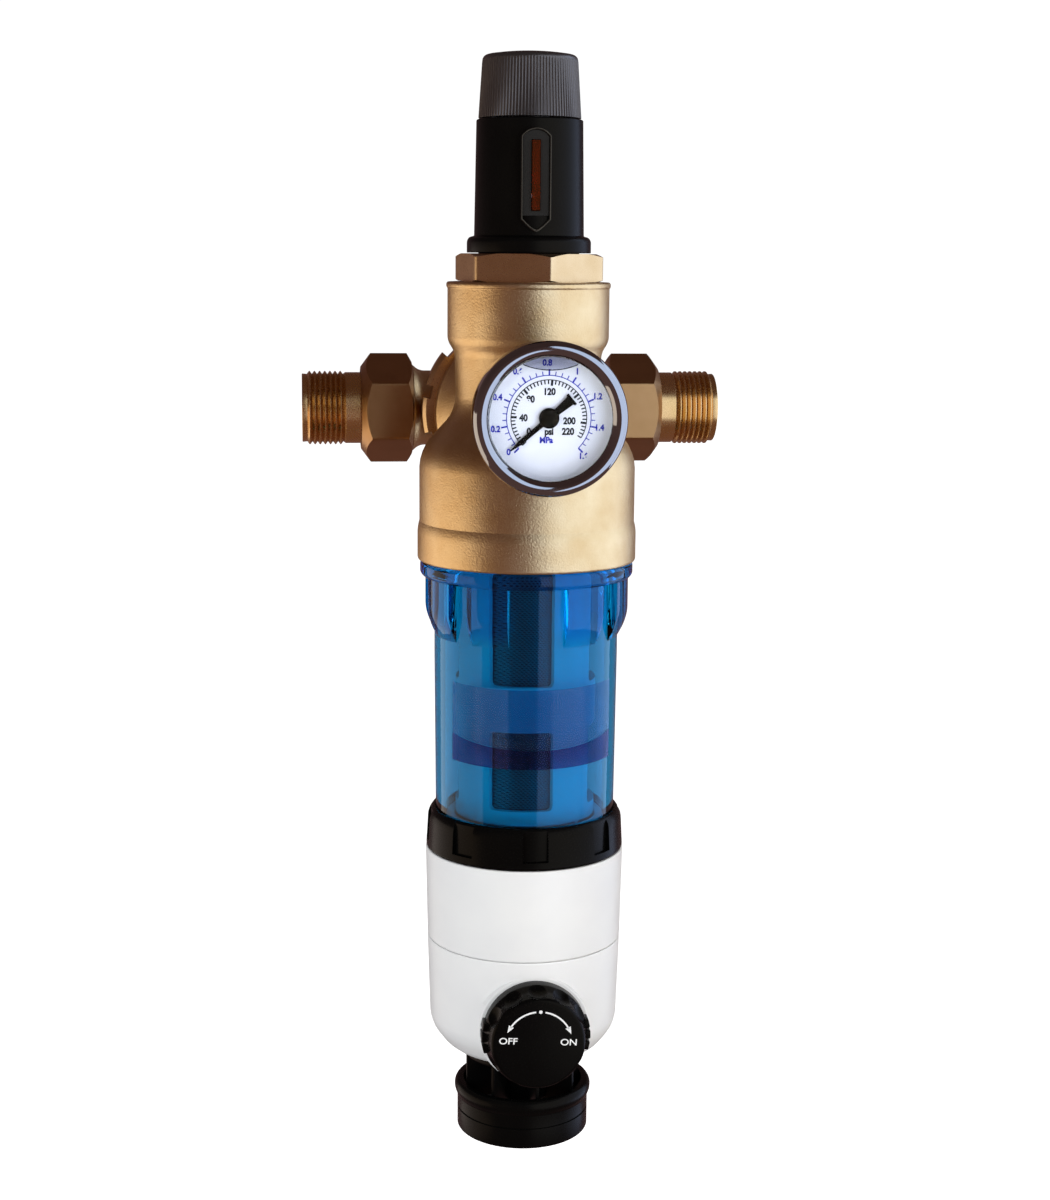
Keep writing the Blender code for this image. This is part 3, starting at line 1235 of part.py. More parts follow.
def make_cage(column):
    """The filter cage: a neck that seals in the body's web, windows all round and four feet."""
    inner = CAGE_R - CAGE_WALL
    groove_top = CAGE_TOP - CAGE_WALL
    outline = [
        (0, CAGE_BOTTOM),
        (CAGE_R, CAGE_BOTTOM),
        (CAGE_R, CAGE_SHOULDER_BOTTOM),
        (CAGE_NECK_R, CAGE_SHOULDER_TOP),
        *reversed(groove(CAGE_NECK_R, groove_top)),
        (CAGE_NECK_R, CAGE_TOP),
        (CAGE_NECK_BORE_R, CAGE_TOP),
        (CAGE_NECK_BORE_R, CAGE_SHOULDER_TOP - CAGE_WALL / 2),
        (inner, CAGE_SHOULDER_BOTTOM - CAGE_WALL / 2),
        (inner, CAGE_BOTTOM + CAGE_FLOOR),
        (0, CAGE_BOTTOM + CAGE_FLOOR),
    ]
    cage = turned("filter_cage", outline, WHITE, column)
    foot_low = FUNNEL_TOP + GAP
    foot_high = CAGE_BOTTOM + CAGE_FLOOR / 2
    sides = (CAGE_FOOT_OUTER_R - CAGE_FOOT_INNER_R, CAGE_FOOT, foot_high - foot_low)
    centre = ((CAGE_FOOT_OUTER_R + CAGE_FOOT_INNER_R) / 2, 0, (foot_high + foot_low) / 2)
    feet = fan(lambda: box_shape(sides, centre), evenly(CAGE_FEET, tau / 8))
    combine(cage, "UNION", piece("cage_feet", feet, None, column))
    middle = radians(-90) + CAGE_WINDOW_TURN
    start = middle - CAGE_WINDOW_SWEEP / 2
    shapes = []
    for low, high in ((UPPER_WINDOW_BOTTOM, UPPER_WINDOW_TOP), (LOWER_WINDOW_BOTTOM, LOWER_WINDOW_TOP)):
        window = ring_outline(inner - OVERLAP, CAGE_R + OVERLAP, low, high)
        shapes.append(fan(lambda: spun(window, 4, CAGE_WINDOW_SWEEP, start), evenly(CAGE_WINDOWS)))
    combine(cage, "DIFFERENCE", piece("cage_windows", gathered(shapes), None, column))
    oring("cage_oring", CAGE_NECK_R, groove_top, column, MEDIUM)
    screens = (
        ("upper_screen", UPPER_WINDOW_BOTTOM - SCREEN_MARGIN, UPPER_WINDOW_TOP + SCREEN_MARGIN),
        ("lower_screen", LOWER_WINDOW_BOTTOM - SCREEN_MARGIN, LOWER_WINDOW_TOP + SCREEN_MARGIN),
    )
    floor = CAGE_BOTTOM + CAGE_FLOOR + GAP
    for name, low, high in screens:
        outer = inner - GAP
        tube = ring_outline(outer - SCREEN, outer, max(low, floor), high)
        turned(name, tube, STEEL, column)


def make_ring_nut(column):
    """The black ring nut with eight recesses, and the clip that it pulls the housing up by."""
    outline = [
        (RING_THREAD_R, RING_TOP),
        (RING_THREAD_R, RING_LIP_TOP),
        (HOUSING_LAND_R + GAP, RING_LIP_TOP),
        (HOUSING_LAND_R + GAP, RING_BOTTOM),
        (RING_R, RING_BOTTOM),
        (RING_FLANK_R, RING_TOP - RING_TAPER),
        (RING_TOP_R, RING_TOP),
    ]
    nut = turned("ring_nut", outline, BLACK, column)
    recess = ring_outline(RING_FLANK_R - RECESS_DEPTH, RING_R + OVERLAP, RING_BOTTOM + RECESS_FOOT, RING_TOP + OVERLAP)
    start = radians(-90) - RECESS_SWEEP / 2
    recesses = fan(lambda: spun(recess, 2, RECESS_SWEEP, start), evenly(RECESSES))
    combine(nut, "DIFFERENCE", piece("nut_recesses", recesses, None, column))
    clip = ring_outline(HOUSING_SPIGOT_R - CLIP_GROOVE_DEPTH + GAP, CLIP_R, CLIP_BOTTOM, CLIP_TOP)
    sweep = CLIP_STEPS * tau / FINE
    piece("clip_ring", spun(clip, CLIP_STEPS, sweep, radians(90)), STEEL, column)


def make_upper_housing(column):
    """The upper white piece: a spigot up into the bowl, a funnel, and a spigot down to the valve."""
    spigot = HOUSING_SPIGOT_R
    groove_top = HOUSING_SPIGOT_TOP - 2 * ORING_SIDE
    clip_floor = spigot - CLIP_GROOVE_DEPTH
    wall = SEAM_R - HOUSING_WALL
    slope = FUNNEL_DROP / (HOUSING_BORE_R - DRAIN_PORT_R)
    under = FUNNEL_TOP - (HOUSING_BORE_R - DRAIN_SPIGOT_R) * slope - 1.6 * HOUSING_WALL
    outline = [
        (HOUSING_BORE_R, HOUSING_SPIGOT_TOP),
        (HOUSING_BORE_R, FUNNEL_TOP),
        (DRAIN_PORT_R, FUNNEL_BOTTOM),
        (DRAIN_PORT_R, DRAIN_SPIGOT_BOTTOM),
        (DRAIN_SPIGOT_R, DRAIN_SPIGOT_BOTTOM),
        (DRAIN_SPIGOT_R, under),
        (HOUSING_BORE_R, FUNNEL_TOP - 1.6 * HOUSING_WALL),
        (wall, FUNNEL_TOP),
        (wall, SEAM),
        (SEAM_R, SEAM),
        (HOUSING_R, HOUSING_TOP),
        (HOUSING_LAND_R, HOUSING_TOP),
        (HOUSING_LAND_R, CLIP_BOTTOM - GAP),
        (clip_floor, CLIP_BOTTOM - GAP),
        (clip_floor, CLIP_TOP + GAP),
        (spigot, CLIP_TOP + GAP),
        *reversed(groove(spigot, groove_top)),
        (spigot, HOUSING_SPIGOT_TOP),
    ]
    turned("drain_housing_upper", outline, WHITE, column)
    oring("housing_oring", spigot, groove_top, column)


def make_lower_housing(column, drain):
    """The lower white piece: the ball's chamber in its middle and the stem's boss at its front."""
    wall = SEAM_R - HOUSING_WALL
    floor = FOOT_BOTTOM + CORE_FLOOR
    socket = DRAIN_SPIGOT_R + GAP
    outline = [
        (SEAM_R, LOWER_TOP),
        (wall, LOWER_TOP),
        (LOWER_HOUSING_R - HOUSING_WALL, LOWER_SIDE_BOTTOM),
        (FOOT_R, floor),
        (CORE_R, floor),
        (CORE_R, LOWER_TOP),
        (socket, LOWER_TOP),
        (socket, DRAIN_SPIGOT_BOTTOM - GAP),
        (DRAIN_PORT_R, DRAIN_SPIGOT_BOTTOM - GAP),
        (DRAIN_PORT_R, CHAMBER_TOP),
        (CHAMBER_R, CHAMBER_TOP),
        (CHAMBER_R, FOOT_BOTTOM),
        (FOOT_R, FOOT_BOTTOM),
        (FOOT_CHAMFER_R, FOOT_BOTTOM + FOOT),
        (LOWER_HOUSING_R, LOWER_SIDE_BOTTOM),
    ]
    housing = turned("drain_housing_lower", outline, WHITE, column)
    core = CORE_R - OVERLAP
    boss = [
        (0, core),
        (DRAIN_BOSS_R, core),
        (DRAIN_BOSS_R, DRAIN_BOSS_REACH - OVERLAP),
        (DRAIN_BOSS_R - OVERLAP, DRAIN_BOSS_REACH),
        (0, DRAIN_BOSS_REACH),
    ]
    front = turned("drain_boss", boss, None, drain, stand=FRONT)
    depth = 2 * DRAIN_BOSS_R
    level = BOSS_ABOVE_FOOT - DRAIN_AXIS_ABOVE_FOOT
    sides = (2 * depth, 4 * DRAIN_BOSS_REACH, depth)
    combine(front, "DIFFERENCE", box("boss_trim", sides, (0, 0, level - depth / 2), None, drain))
    combine(housing, "UNION", front)
    way = [
        (0, CHAMBER_R - OVERLAP),
        (DRAIN_STEM_COLLAR_R + GAP, CHAMBER_R - OVERLAP),
        (DRAIN_STEM_COLLAR_R + GAP, STEM_SEAT),
        (DRAIN_STEM_R + GAP, STEM_SEAT),
        (DRAIN_STEM_R + GAP, DRAIN_BOSS_REACH + OVERLAP),
        (0, DRAIN_BOSS_REACH + OVERLAP),
    ]
    stem_way = turned("drain_stem_way", way, None, drain, stand=FRONT, steps=MEDIUM)
    combine(housing, "DIFFERENCE", stem_way)


def make_drain_valve(drain):
    """The ball between its two seats, closed, with the stem that turns it a quarter turn to open."""
    shape = bmesh.new()
    bmesh.ops.create_uvsphere(shape, u_segments=MEDIUM, v_segments=8, radius=BALL_R)
    ball = piece("drain_ball", shape, STEEL, drain)
    reach = BALL_R + OVERLAP
    combine(ball, "DIFFERENCE", cylinder("ball_bore", BALL_BORE_R, -reach, reach, drain, stand=RIGHT))
    slot_floor = BALL_R - TANG_DEPTH - GAP
    slot = box(
        "ball_slot",
        (TANG_WIDTH + 2 * GAP, reach - slot_floor, TANG + 2 * GAP),
        (0, -(reach + slot_floor) / 2, 0),
        None,
        drain,
    )
    combine(ball, "DIFFERENCE", slot)
    cone_top = SEAT_CONE - DRAIN_PORT_R
    seat = [
        (DRAIN_PORT_R, cone_top),
        (SEAT_CONE - SEAT_RING_LIFT, SEAT_RING_LIFT),
        (SEAT_RING_R, SEAT_RING_LIFT),
        (SEAT_RING_R, SEAT_RING_LIFT + SEAT_RING),
        (DRAIN_PORT_R, SEAT_RING_LIFT + SEAT_RING),
    ]
    turned("upper_ball_seat", seat, WHITE, drain, steps=MEDIUM)
    turned("lower_ball_seat", [(radius, -height) for radius, height in seat], WHITE, drain, steps=MEDIUM)
    collar = CHAMBER_R + GAP
    stem = [
        (0, BALL_R + GAP),
        (DRAIN_STEM_R, BALL_R + GAP),
        (DRAIN_STEM_R, collar),
        (DRAIN_STEM_COLLAR_R, collar),
        (DRAIN_STEM_COLLAR_R, collar + DRAIN_STEM_COLLAR),
        (DRAIN_STEM_R, collar + DRAIN_STEM_COLLAR),
        (DRAIN_STEM_R, DRAIN_BOSS_REACH),
        (0, DRAIN_BOSS_REACH),
    ]
    spindle = turned("drain_stem", stem, BRASS, drain, stand=FRONT, steps=MEDIUM)
    tang_back = BALL_R - TANG_DEPTH
    tang_front = BALL_R + 2 * OVERLAP
    tang = box("drain_tang", (TANG_WIDTH, tang_front - tang_back, TANG),
               (0, -(tang_front + tang_back) / 2, 0), None, drain)
    square_back = DRAIN_BOSS_REACH - OVERLAP
    square_front = DRAIN_BOSS_REACH + DRAIN_SQUARE_LENGTH
    square = box("drain_square", (DRAIN_SQUARE, square_front - square_back, DRAIN_SQUARE),
                 (0, -(square_front + square_back) / 2, 0), None, drain)
    for tool in (tang, square):
        combine(spindle, "UNION", tool)
    seal = collar + DRAIN_STEM_COLLAR + GAP
    outline = ring_outline(DRAIN_STEM_R + GAP, DRAIN_STEM_COLLAR_R, seal, seal + ORING_SIDE)
    turned("drain_stem_oring", outline, RUBBER, drain, stand=FRONT, steps=MEDIUM)


def make_drain_knob(drain):
    """The black knob with three grips at each side."""
    front = DRAIN_KNOB_BACK + DRAIN_KNOB_DEPTH
    inside = front - DRAIN_KNOB_FACE
    taper = DRAIN_KNOB_R - DRAIN_KNOB_FACE_R
    outline = [
        (0, DRAIN_KNOB_BACK),
        (DRAIN_KNOB_HUB_R, DRAIN_KNOB_BACK),
        (DRAIN_KNOB_HUB_R, inside),
        (DRAIN_KNOB_FACE_R - DRAIN_KNOB_WALL, inside),
        (DRAIN_KNOB_R - DRAIN_KNOB_WALL, DRAIN_KNOB_BACK),
        (DRAIN_KNOB_R, DRAIN_KNOB_BACK),
        (DRAIN_KNOB_FACE_R, front - DRAIN_KNOB_EDGE),
        (DRAIN_KNOB_FACE_R - DRAIN_KNOB_EDGE, front),
        (0, front),
    ]
    knob = turned("drain_knob", outline, BLACK, drain, stand=FRONT)
    grip_front = DRAIN_KNOB_BACK + GRIP_LENGTH
    root = DRAIN_KNOB_R - taper - DRAIN_KNOB_WALL / 2
    grip = ring_outline(root, DRAIN_KNOB_R + GRIP_PROUD, DRAIN_KNOB_BACK, grip_front)
    angles = []
    for side in (0, pi):
        angles += [side + GRIP_PITCH * (index - (GRIPS - 1) / 2) for index in range(GRIPS)]
    grips = fan(lambda: spun(grip, 1, GRIP_SWEEP, -GRIP_SWEEP / 2), angles)
    combine(knob, "UNION", piece("knob_grips", grips, None, drain, stand=FRONT))
    side = DRAIN_SQUARE + 2 * GAP
    back = DRAIN_KNOB_BACK - OVERLAP
    floor = DRAIN_BOSS_REACH + DRAIN_SQUARE_LENGTH + GAP
    socket = box("knob_socket", (side, floor - back, side), (0, -(floor + back) / 2, 0), None, drain)
    combine(knob, "DIFFERENCE", socket)


def make_drain_outlet(column):
    """The neck that screws up under the ball, with its fins, and the cup that hangs on them."""
    outline = [
        (NECK_BORE_R, NECK_SPIGOT_TOP),
        (NECK_BORE_R, NECK_FLANGE_BOTTOM - NECK_TUBE),
        (NECK_TUBE_R, NECK_FLANGE_BOTTOM - NECK_TUBE),
        (NECK_TUBE_R, NECK_FLANGE_BOTTOM),
        (NECK_FLANGE_R, NECK_FLANGE_BOTTOM),
        (NECK_FLANGE_R, NECK_FLANGE_TOP),
        (NECK_SPIGOT_R, NECK_FLANGE_TOP),
        (NECK_SPIGOT_R, NECK_SPIGOT_TOP),
    ]
    neck = turned("drain_neck", outline, BLACK, column)
    inner = NECK_TUBE_R - OVERLAP
    high = NECK_FLANGE_BOTTOM + OVERLAP
    sides = (NECK_FLANGE_R - GAP - inner, FIN, high - FIN_BOTTOM)
    centre = (inner + sides[0] / 2, 0, (high + FIN_BOTTOM) / 2)
    fins = fan(lambda: box_shape(sides, centre), evenly(FINS, radians(-90) + FIN_TURN))
    combine(neck, "UNION", piece("neck_fins", fins, None, column))
    mouth = NECK_FLANGE_R + GAP
    pipe = DRAIN_PIPE_R + GAP
    lip_bottom = CUP_TOP - CUP_LIP
    cup = [
        (mouth, CUP_TOP),
        (mouth, CUP_LEDGE_TOP),
        (CUP_LEDGE_R, CUP_LEDGE_TOP),
        (CUP_LEDGE_R, CUP_LEDGE_TOP - CUP_LEDGE),
        (pipe, CUP_LEDGE_TOP - CUP_LEDGE),
        (pipe, CUP_BOTTOM),
        (CUP_R - CUP_EDGE, CUP_BOTTOM),
        (CUP_R, CUP_BOTTOM + CUP_EDGE),
        (CUP_R, lip_bottom),
        (CUP_LIP_R, lip_bottom + CUP_LIP * 0.3),
        (CUP_LIP_R, lip_bottom + CUP_LIP * 0.6),
        (CUP_LIP_R - CUP_EDGE, CUP_TOP),
    ]
    turned("drain_cup", cup, BLACK, column)


def main():
    clear_scene()
    swivel = pivot("swivel_axis", AT_ORIGIN)
    column = pivot("column_axis", (0, -COLUMN_REACH, 0), swivel)
    gauge = pivot("gauge_axis", (0, 0, GAUGE_HEIGHT), column)
    drain = pivot("drain_axis", (0, 0, DRAIN_AXIS), column)
    valve_axis = pivot("valve_axis", AT_ORIGIN, column)
    plate_axis = pivot("spring_plate_axis", AT_ORIGIN, column)
    make_connector()
    make_union("left", LEFT)
    make_union("right", RIGHT)
    make_coupling_nut(swivel)
    make_body(column)
    make_port_seals(column)
    make_valve(column, valve_axis)
    make_diaphragm(column)
    make_hex_ring(column)
    make_bonnet(column)
    make_spring(plate_axis)
    make_spring_plate(plate_axis)
    make_setting_knob(column)
    make_gauge_case(gauge)
    make_gauge_works(gauge)
    make_bowl(column)
    make_cage(column)
    make_ring_nut(column)
    make_upper_housing(column)
    make_lower_housing(column, drain)
    make_drain_valve(drain)
    make_drain_knob(drain)
    make_drain_outlet(column)


main()
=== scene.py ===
# %% [markdown]
# # A self cleaning water filter
# This filter hangs on the water pipe of a house. Water comes in at the left, passes a fine screen
# in the blue bowl, loses pressure in the valve under the grey knob, and leaves at the right. A
# quarter turn of the black knob at the foot flushes the dirt into the drain. The mechanical model
# is loaded first, and every piece made here is dressed over it.

# %% Load the frame
import json
from math import atan2, cos, degrees, hypot, pi, radians, sin, sqrt

import bmesh
import bpy
from mathutils import Matrix, Vector


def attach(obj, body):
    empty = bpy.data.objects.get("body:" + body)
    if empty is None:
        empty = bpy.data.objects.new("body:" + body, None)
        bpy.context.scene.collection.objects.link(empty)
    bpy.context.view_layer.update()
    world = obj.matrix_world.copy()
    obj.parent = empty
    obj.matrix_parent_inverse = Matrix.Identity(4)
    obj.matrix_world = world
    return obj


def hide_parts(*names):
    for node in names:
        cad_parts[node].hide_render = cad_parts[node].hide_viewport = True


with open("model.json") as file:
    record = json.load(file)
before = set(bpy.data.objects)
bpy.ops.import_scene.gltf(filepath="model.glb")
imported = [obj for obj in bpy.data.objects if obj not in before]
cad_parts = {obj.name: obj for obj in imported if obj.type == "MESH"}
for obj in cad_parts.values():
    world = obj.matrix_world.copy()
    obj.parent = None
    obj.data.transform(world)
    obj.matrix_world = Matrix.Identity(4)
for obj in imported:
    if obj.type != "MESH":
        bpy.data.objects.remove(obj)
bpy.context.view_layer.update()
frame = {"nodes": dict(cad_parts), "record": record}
print("Nodes in the frame:", len(frame["nodes"]))

# %% [markdown]
# ## Millimetres and the two axes
# The pieces are drawn in millimetres, standing up on +Z at the middle of the world. A turn and a
# shift then put each one in its place, and the mesh is scaled to metres. All the round pieces of
# the filter share one upright axis in front of the pipe. The gauge and the drain knob face
# forwards.

# %% Places and turns
MM = 0.001
COLUMN_Y, GAUGE_Z, DRAIN_Z = -72.6, 6.9, -254.1
COLUMN = Vector((0, COLUMN_Y, 0))
GAUGE = Vector((0, COLUMN_Y, GAUGE_Z))
DRAIN = Vector((0, COLUMN_Y, DRAIN_Z))
PIPE = Vector((0, 0, 0))
UPRIGHT = Matrix.Identity(4)
FORWARDS = Matrix.Rotation(radians(90), 4, "X")
BACKWARDS = Matrix.Rotation(radians(-90), 4, "X")
RIGHTWARDS = Matrix.Rotation(radians(90), 4, "Y")
LEFTWARDS = Matrix.Rotation(radians(-90), 4, "Y")
ROUND = 128


def about_z(angle):
    """A turn about the Z axis, in radians."""
    return Matrix.Rotation(angle, 4, "Z")


print("Filter axis at", tuple(COLUMN), "mm")

# %% [markdown]
# ## Colours and nodes
# Colours are chosen as screen colours, so one function turns them into the linear numbers that the
# renderer needs. A second function adds any node, sets its fields and inputs, and plugs in its
# links.

# %% Colour and node helpers
def colour(code):
    """A #rrggbb screen colour as linear red, green, blue and alpha."""
    parts = [int(code[at:at + 2], 16) / 255 for at in (1, 3, 5)]
    return [
        part / 12.92 if part <= 0.04045 else ((part + 0.055) / 1.055) ** 2.4 for part in parts
    ] + [1.0]


def add(tree, kind, settings=None, links=None):
    """A node with its fields and inputs set, and with its inputs fed by the links."""
    made = tree.nodes.new(kind)
    for name, value in (settings or {}).items():
        if isinstance(name, int) or name in made.inputs:
            made.inputs[name].default_value = value
        else:
            setattr(made, name, value)
    for name, socket in (links or {}).items():
        tree.links.new(socket, made.inputs[name])
    return made


def surface(name, settings):
    """A new material, with its node tree, its shader and its Object coordinates."""
    made = bpy.data.materials.new(name)
    made.use_nodes = True
    tree = made.node_tree
    shader = tree.nodes["Principled BSDF"]
    for field, value in settings.items():
        shader.inputs[field].default_value = value
    made.diffuse_color = settings["Base Color"]
    place = add(tree, "ShaderNodeTexCoord")
    return made, tree, shader, place.outputs["Object"]


print("Mid grey is", [round(part, 3) for part in colour("#808080")])

# %% [markdown]
# ## Sand cast brass
# The body is cast in sand, so its skin is a little grainy and its golden colour varies in soft
# patches. A fine noise gives the grain as bump and as roughness, and a broad noise mixes two tones.

# %% Brass finishes
def grain(tree, place, size, detail=3.0):
    """Noise whose spots are about this many millimetres across."""
    return add(tree, "ShaderNodeTexNoise", {"Scale": 1 / (size * MM), "Detail": detail},
               {"Vector": place}).outputs["Fac"]


def ranged(tree, value, low, high, start=0.3, end=0.7):
    """The value moved from its own range to another."""
    settings = {"From Min": start, "From Max": end, "To Min": low, "To Max": high}
    return add(tree, "ShaderNodeMapRange", settings, {"Value": value}).outputs["Result"]


def two_tones(tree, factor, first, second):
    """A mix from the first tone to the second."""
    settings = {"data_type": "RGBA", 6: colour(first), 7: colour(second)}
    return add(tree, "ShaderNodeMix", settings, {0: factor}).outputs[2]


def raised(tree, shader, height, depth, strength):
    """Bump of this many millimetres on the shader."""
    settings = {"Distance": depth * MM, "Strength": strength}
    made = add(tree, "ShaderNodeBump", settings, {"Height": height})
    tree.links.new(made.outputs["Normal"], shader.inputs["Normal"])


def skinned(tree, shader, place, spot, smooth, rough, depth, strength):
    """One fine noise as both the roughness and the bump of the shader."""
    skin = grain(tree, place, spot)
    tree.links.new(ranged(tree, skin, smooth, rough), shader.inputs["Roughness"])
    raised(tree, shader, skin, depth, strength)


def patched(tree, shader, place, size, detail, first, second):
    """Two tones in soft patches as the colour of the shader."""
    patches = ranged(tree, grain(tree, place, size, detail), 0.0, 1.0)
    tree.links.new(two_tones(tree, patches, first, second), shader.inputs["Base Color"])


def brass(name, light, dark, smooth, rough, spot, depth, strength):
    """A brass whose tones, roughness and grain say how it was made."""
    base = {"Base Color": colour(light), "Metallic": 1.0, "Roughness": (smooth + rough) / 2}
    made, tree, shader, place = surface(name, base)
    patched(tree, shader, place, 14, 4.0, light, dark)
    skinned(tree, shader, place, spot, smooth, rough, depth, strength)
    return made


CAST_BRASS = brass("sand_cast_brass", "#d4b682", "#c6a26b", 0.31, 0.43, 0.75, 0.16, 0.85)
MACHINED_BRASS = brass("machined_brass", "#cfae7c", "#c3a06c", 0.26, 0.34, 0.35, 0.03, 0.35)
NUT_BRASS = brass("dull_nut_brass", "#a97f4e", "#9f7646", 0.28, 0.36, 0.4, 0.04, 0.4)
TURNED_BRASS = brass("turned_brass_thread", "#d9ac72", "#caa05f", 0.22, 0.32, 0.5, 0.01, 0.12)
BRASSES = (CAST_BRASS, MACHINED_BRASS, NUT_BRASS, TURNED_BRASS)
print("Brasses:", [made.name for made in BRASSES])

# %% [markdown]
# ## Steel, chrome and bronze
# The gauge has a rolled chrome bezel over a plain steel case. Chrome is nearly a mirror. Stainless
# steel is duller, and the bronze pieces inside are redder than the brass.

# %% Other metals
def metal(name, code, roughness, spot=0.6, depth=0.01):
    """A metal of one tone whose roughness varies a little."""
    base = {"Base Color": colour(code), "Metallic": 1.0, "Roughness": roughness}
    made, tree, shader, place = surface(name, base)
    skinned(tree, shader, place, spot, roughness * 0.85, roughness * 1.15, depth, 0.2)
    return made


CHROME = metal("chrome_plate", "#928f89", 0.06, 3.0, 0.004)
STAINLESS = metal("stainless_steel", "#b9babc", 0.28)
BRONZE = metal("machined_bronze", "#b9845c", 0.30)
print("Metals:", CHROME.name, STAINLESS.name, BRONZE.name)

# %% [markdown]
# ## Moulded plastics and rubber
# Glass filled nylon comes out of its mould satin black with a very fine grain. Acetal is smoother
# and pure white. The grey knob is a softer satin. Each has its grain size in millimetres.

# %% Plastic finishes
def moulded(name, code, roughness, spot, depth, tint=None, gloss=0.5, sheen="#ffffff"):
    """An opaque moulded plastic with the grain of its mould."""
    made, tree, shader, place = surface(name, {
        "Base Color": colour(code), "Roughness": roughness, "IOR": 1.5,
        "Specular IOR Level": gloss, "Specular Tint": colour(sheen),
    })
    patched(tree, shader, place, 18, 2.0, code, tint or code)
    skinned(tree, shader, place, spot, roughness * 0.88, roughness * 1.12, depth, 0.25)
    return made


WARM = "#ffdfac"
BLACK_NYLON = moulded("glass_filled_nylon", "#060606", 0.32, 0.5, 0.02, "#080808", 0.07, WARM)
GLOSS_NYLON = moulded("polished_black_nylon", "#060606", 0.26, 0.9, 0.01, "#080808", 0.055, WARM)
RUBBED_EDGE = moulded("rubbed_black_edge", "#0c0c0c", 0.24, 0.8, 0.005, "#0f0f0f", 0.5, WARM)
SMOKED_PANEL = moulded("smoked_panel", "#161718", 0.3, 0.8, 0.005, "#1a1b1c", 0.2, WARM)
GREY_ABS = moulded("grey_abs", "#1b1b1c", 0.36, 0.6, 0.02, "#1f1f20", 1.0, "#ffe8cc")
WHITE_ACETAL = moulded("white_acetal", "#efefef", 0.40, 0.8, 0.01, "#ebebec", 0.25)
RED_ACETAL = moulded("red_acetal", "#8c3524", 0.45, 0.6, 0.02, "#7d2e1f")
RUBBER = moulded("nitrile_rubber", "#121214", 0.72, 0.4, 0.03, "#161618", 0.2)
DIAL_ENAMEL = moulded("white_dial_enamel", "#cbcccf", 0.38, 1.2, 0.005, "#d0d0d2")
BLACK_INK = moulded("black_screen_ink", "#09090b", 0.5, 0.3, 0.005, "#0d0d10", 0.2)
BLUE_INK = moulded("blue_screen_ink", "#23269a", 0.5, 0.3, 0.005, "#22248e", 0.2)
WHITE_INK = moulded("white_screen_ink", "#f2f2f2", 0.5, 0.3, 0.005, "#ededed")
print("Plastics:", len([made for made in bpy.data.materials if made.use_nodes]), "materials so far")

# %% [markdown]
# ## Clear plastics
# The bowl is moulded in clear blue. Light is tinted at each face that it passes, so the blue is
# laid on the outer face and hardly on the inner one: at the bowl's edges, where light passes the
# outer face twice, it turns deep as thick plastic does. The collar and the lugs are deeper still.
# Both follow the distance from the column's axis. The lens of the gauge is clear acrylic. The film
# on the bowl is a pale and a dark band of see-through print, kept bare.

# %% Clear finishes
def clear(name, code, roughness, index, passes=1.0):
    """A see-through plastic with faint flow marks from its mould."""
    made, tree, shader, place = surface(name, {
        "Base Color": colour(code), "Roughness": roughness, "IOR": index,
        "Transmission Weight": passes,
    })
    raised(tree, shader, grain(tree, place, 22, 1.0), 0.15, 0.2)
    return made


def deepened(made, inner, *steps):
    """The tint deepens to each step's tone, between two distances in mm from the column's axis."""
    tree = made.node_tree
    place = add(tree, "ShaderNodeTexCoord").outputs["Object"]
    flat = {"operation": "MULTIPLY", 1: (1, 1, 0)}
    level = add(tree, "ShaderNodeVectorMath", flat, {0: place}).outputs["Vector"]
    axis = {"operation": "DISTANCE", 1: tuple(COLUMN * MM)}
    distance = add(tree, "ShaderNodeVectorMath", axis, {0: level}).outputs["Value"]
    tint = add(tree, "ShaderNodeRGB").outputs[0]
    tint.default_value = colour(inner)
    for tone, start, end in steps:
        share = ranged(tree, distance, 0.0, 1.0, start * MM, end * MM)
        settings = {"data_type": "RGBA", 7: colour(tone)}
        tint = add(tree, "ShaderNodeMix", settings, {0: share, 6: tint}).outputs[2]
    tree.links.new(tint, tree.nodes["Principled BSDF"].inputs["Base Color"])


BLUE_CLEAR = clear("clear_blue_moulding", "#269dbd", 0.02, 1.26)
deepened(BLUE_CLEAR, "#bce7f3", ("#036992", 36.0, 38.0), ("#035089", 39.6, 42.4))
LENS_CLEAR = clear("clear_acrylic", "#fbfcfd", 0.01, 1.13)
SMOKED_AMBER = clear("smoked_amber_acrylic", "#8a4526", 0.03, 1.10, 0.85)
PALE_FILM = clear("pale_blue_film", "#b6c6dc", 0.08, 1.12)
DARK_FILM = clear("dark_blue_film", "#9d87b4", 0.08, 1.12)
BUBBLE_AIR = clear("air_behind_glass", "#c2c4d2", 0.03, 1.10)
MENISCUS = clear("glycerine_edge", "#34363f", 0.05, 1.20)
print("Clear:", BLUE_CLEAR.name, LENS_CLEAR.name, PALE_FILM.name)

# %% [markdown]
# ## Woven screen
# The screen is stainless gauze of about a tenth of a millimetre, far too fine to draw. Two crossed
# sets of bands, one around the tube and one aslant, stand for it at a coarser spacing that the
# picture can still show.

# %% Screen finish
def woven(name, pitch):
    """Steel gauze with its threads this many millimetres apart."""
    base = {"Base Color": colour("#5d6468"), "Metallic": 0.8, "Roughness": 0.42}
    made, tree, shader, place = surface(name, base)
    turns = pi / (pitch * MM)
    weave = []
    for direction in ("Z", "DIAGONAL"):
        settings = {"wave_type": "BANDS", "bands_direction": direction, "Scale": turns / 10}
        weave.append(add(tree, "ShaderNodeTexWave", settings, {"Vector": place}).outputs["Fac"])
    crossed = add(tree, "ShaderNodeMath", {"operation": "MAXIMUM"}, {0: weave[0], 1: weave[1]})
    tone = two_tones(tree, crossed.outputs[0], "#0e1315", "#565d61")
    tree.links.new(tone, shader.inputs["Base Color"])
    raised(tree, shader, crossed.outputs[0], 0.08, 0.3)
    return made


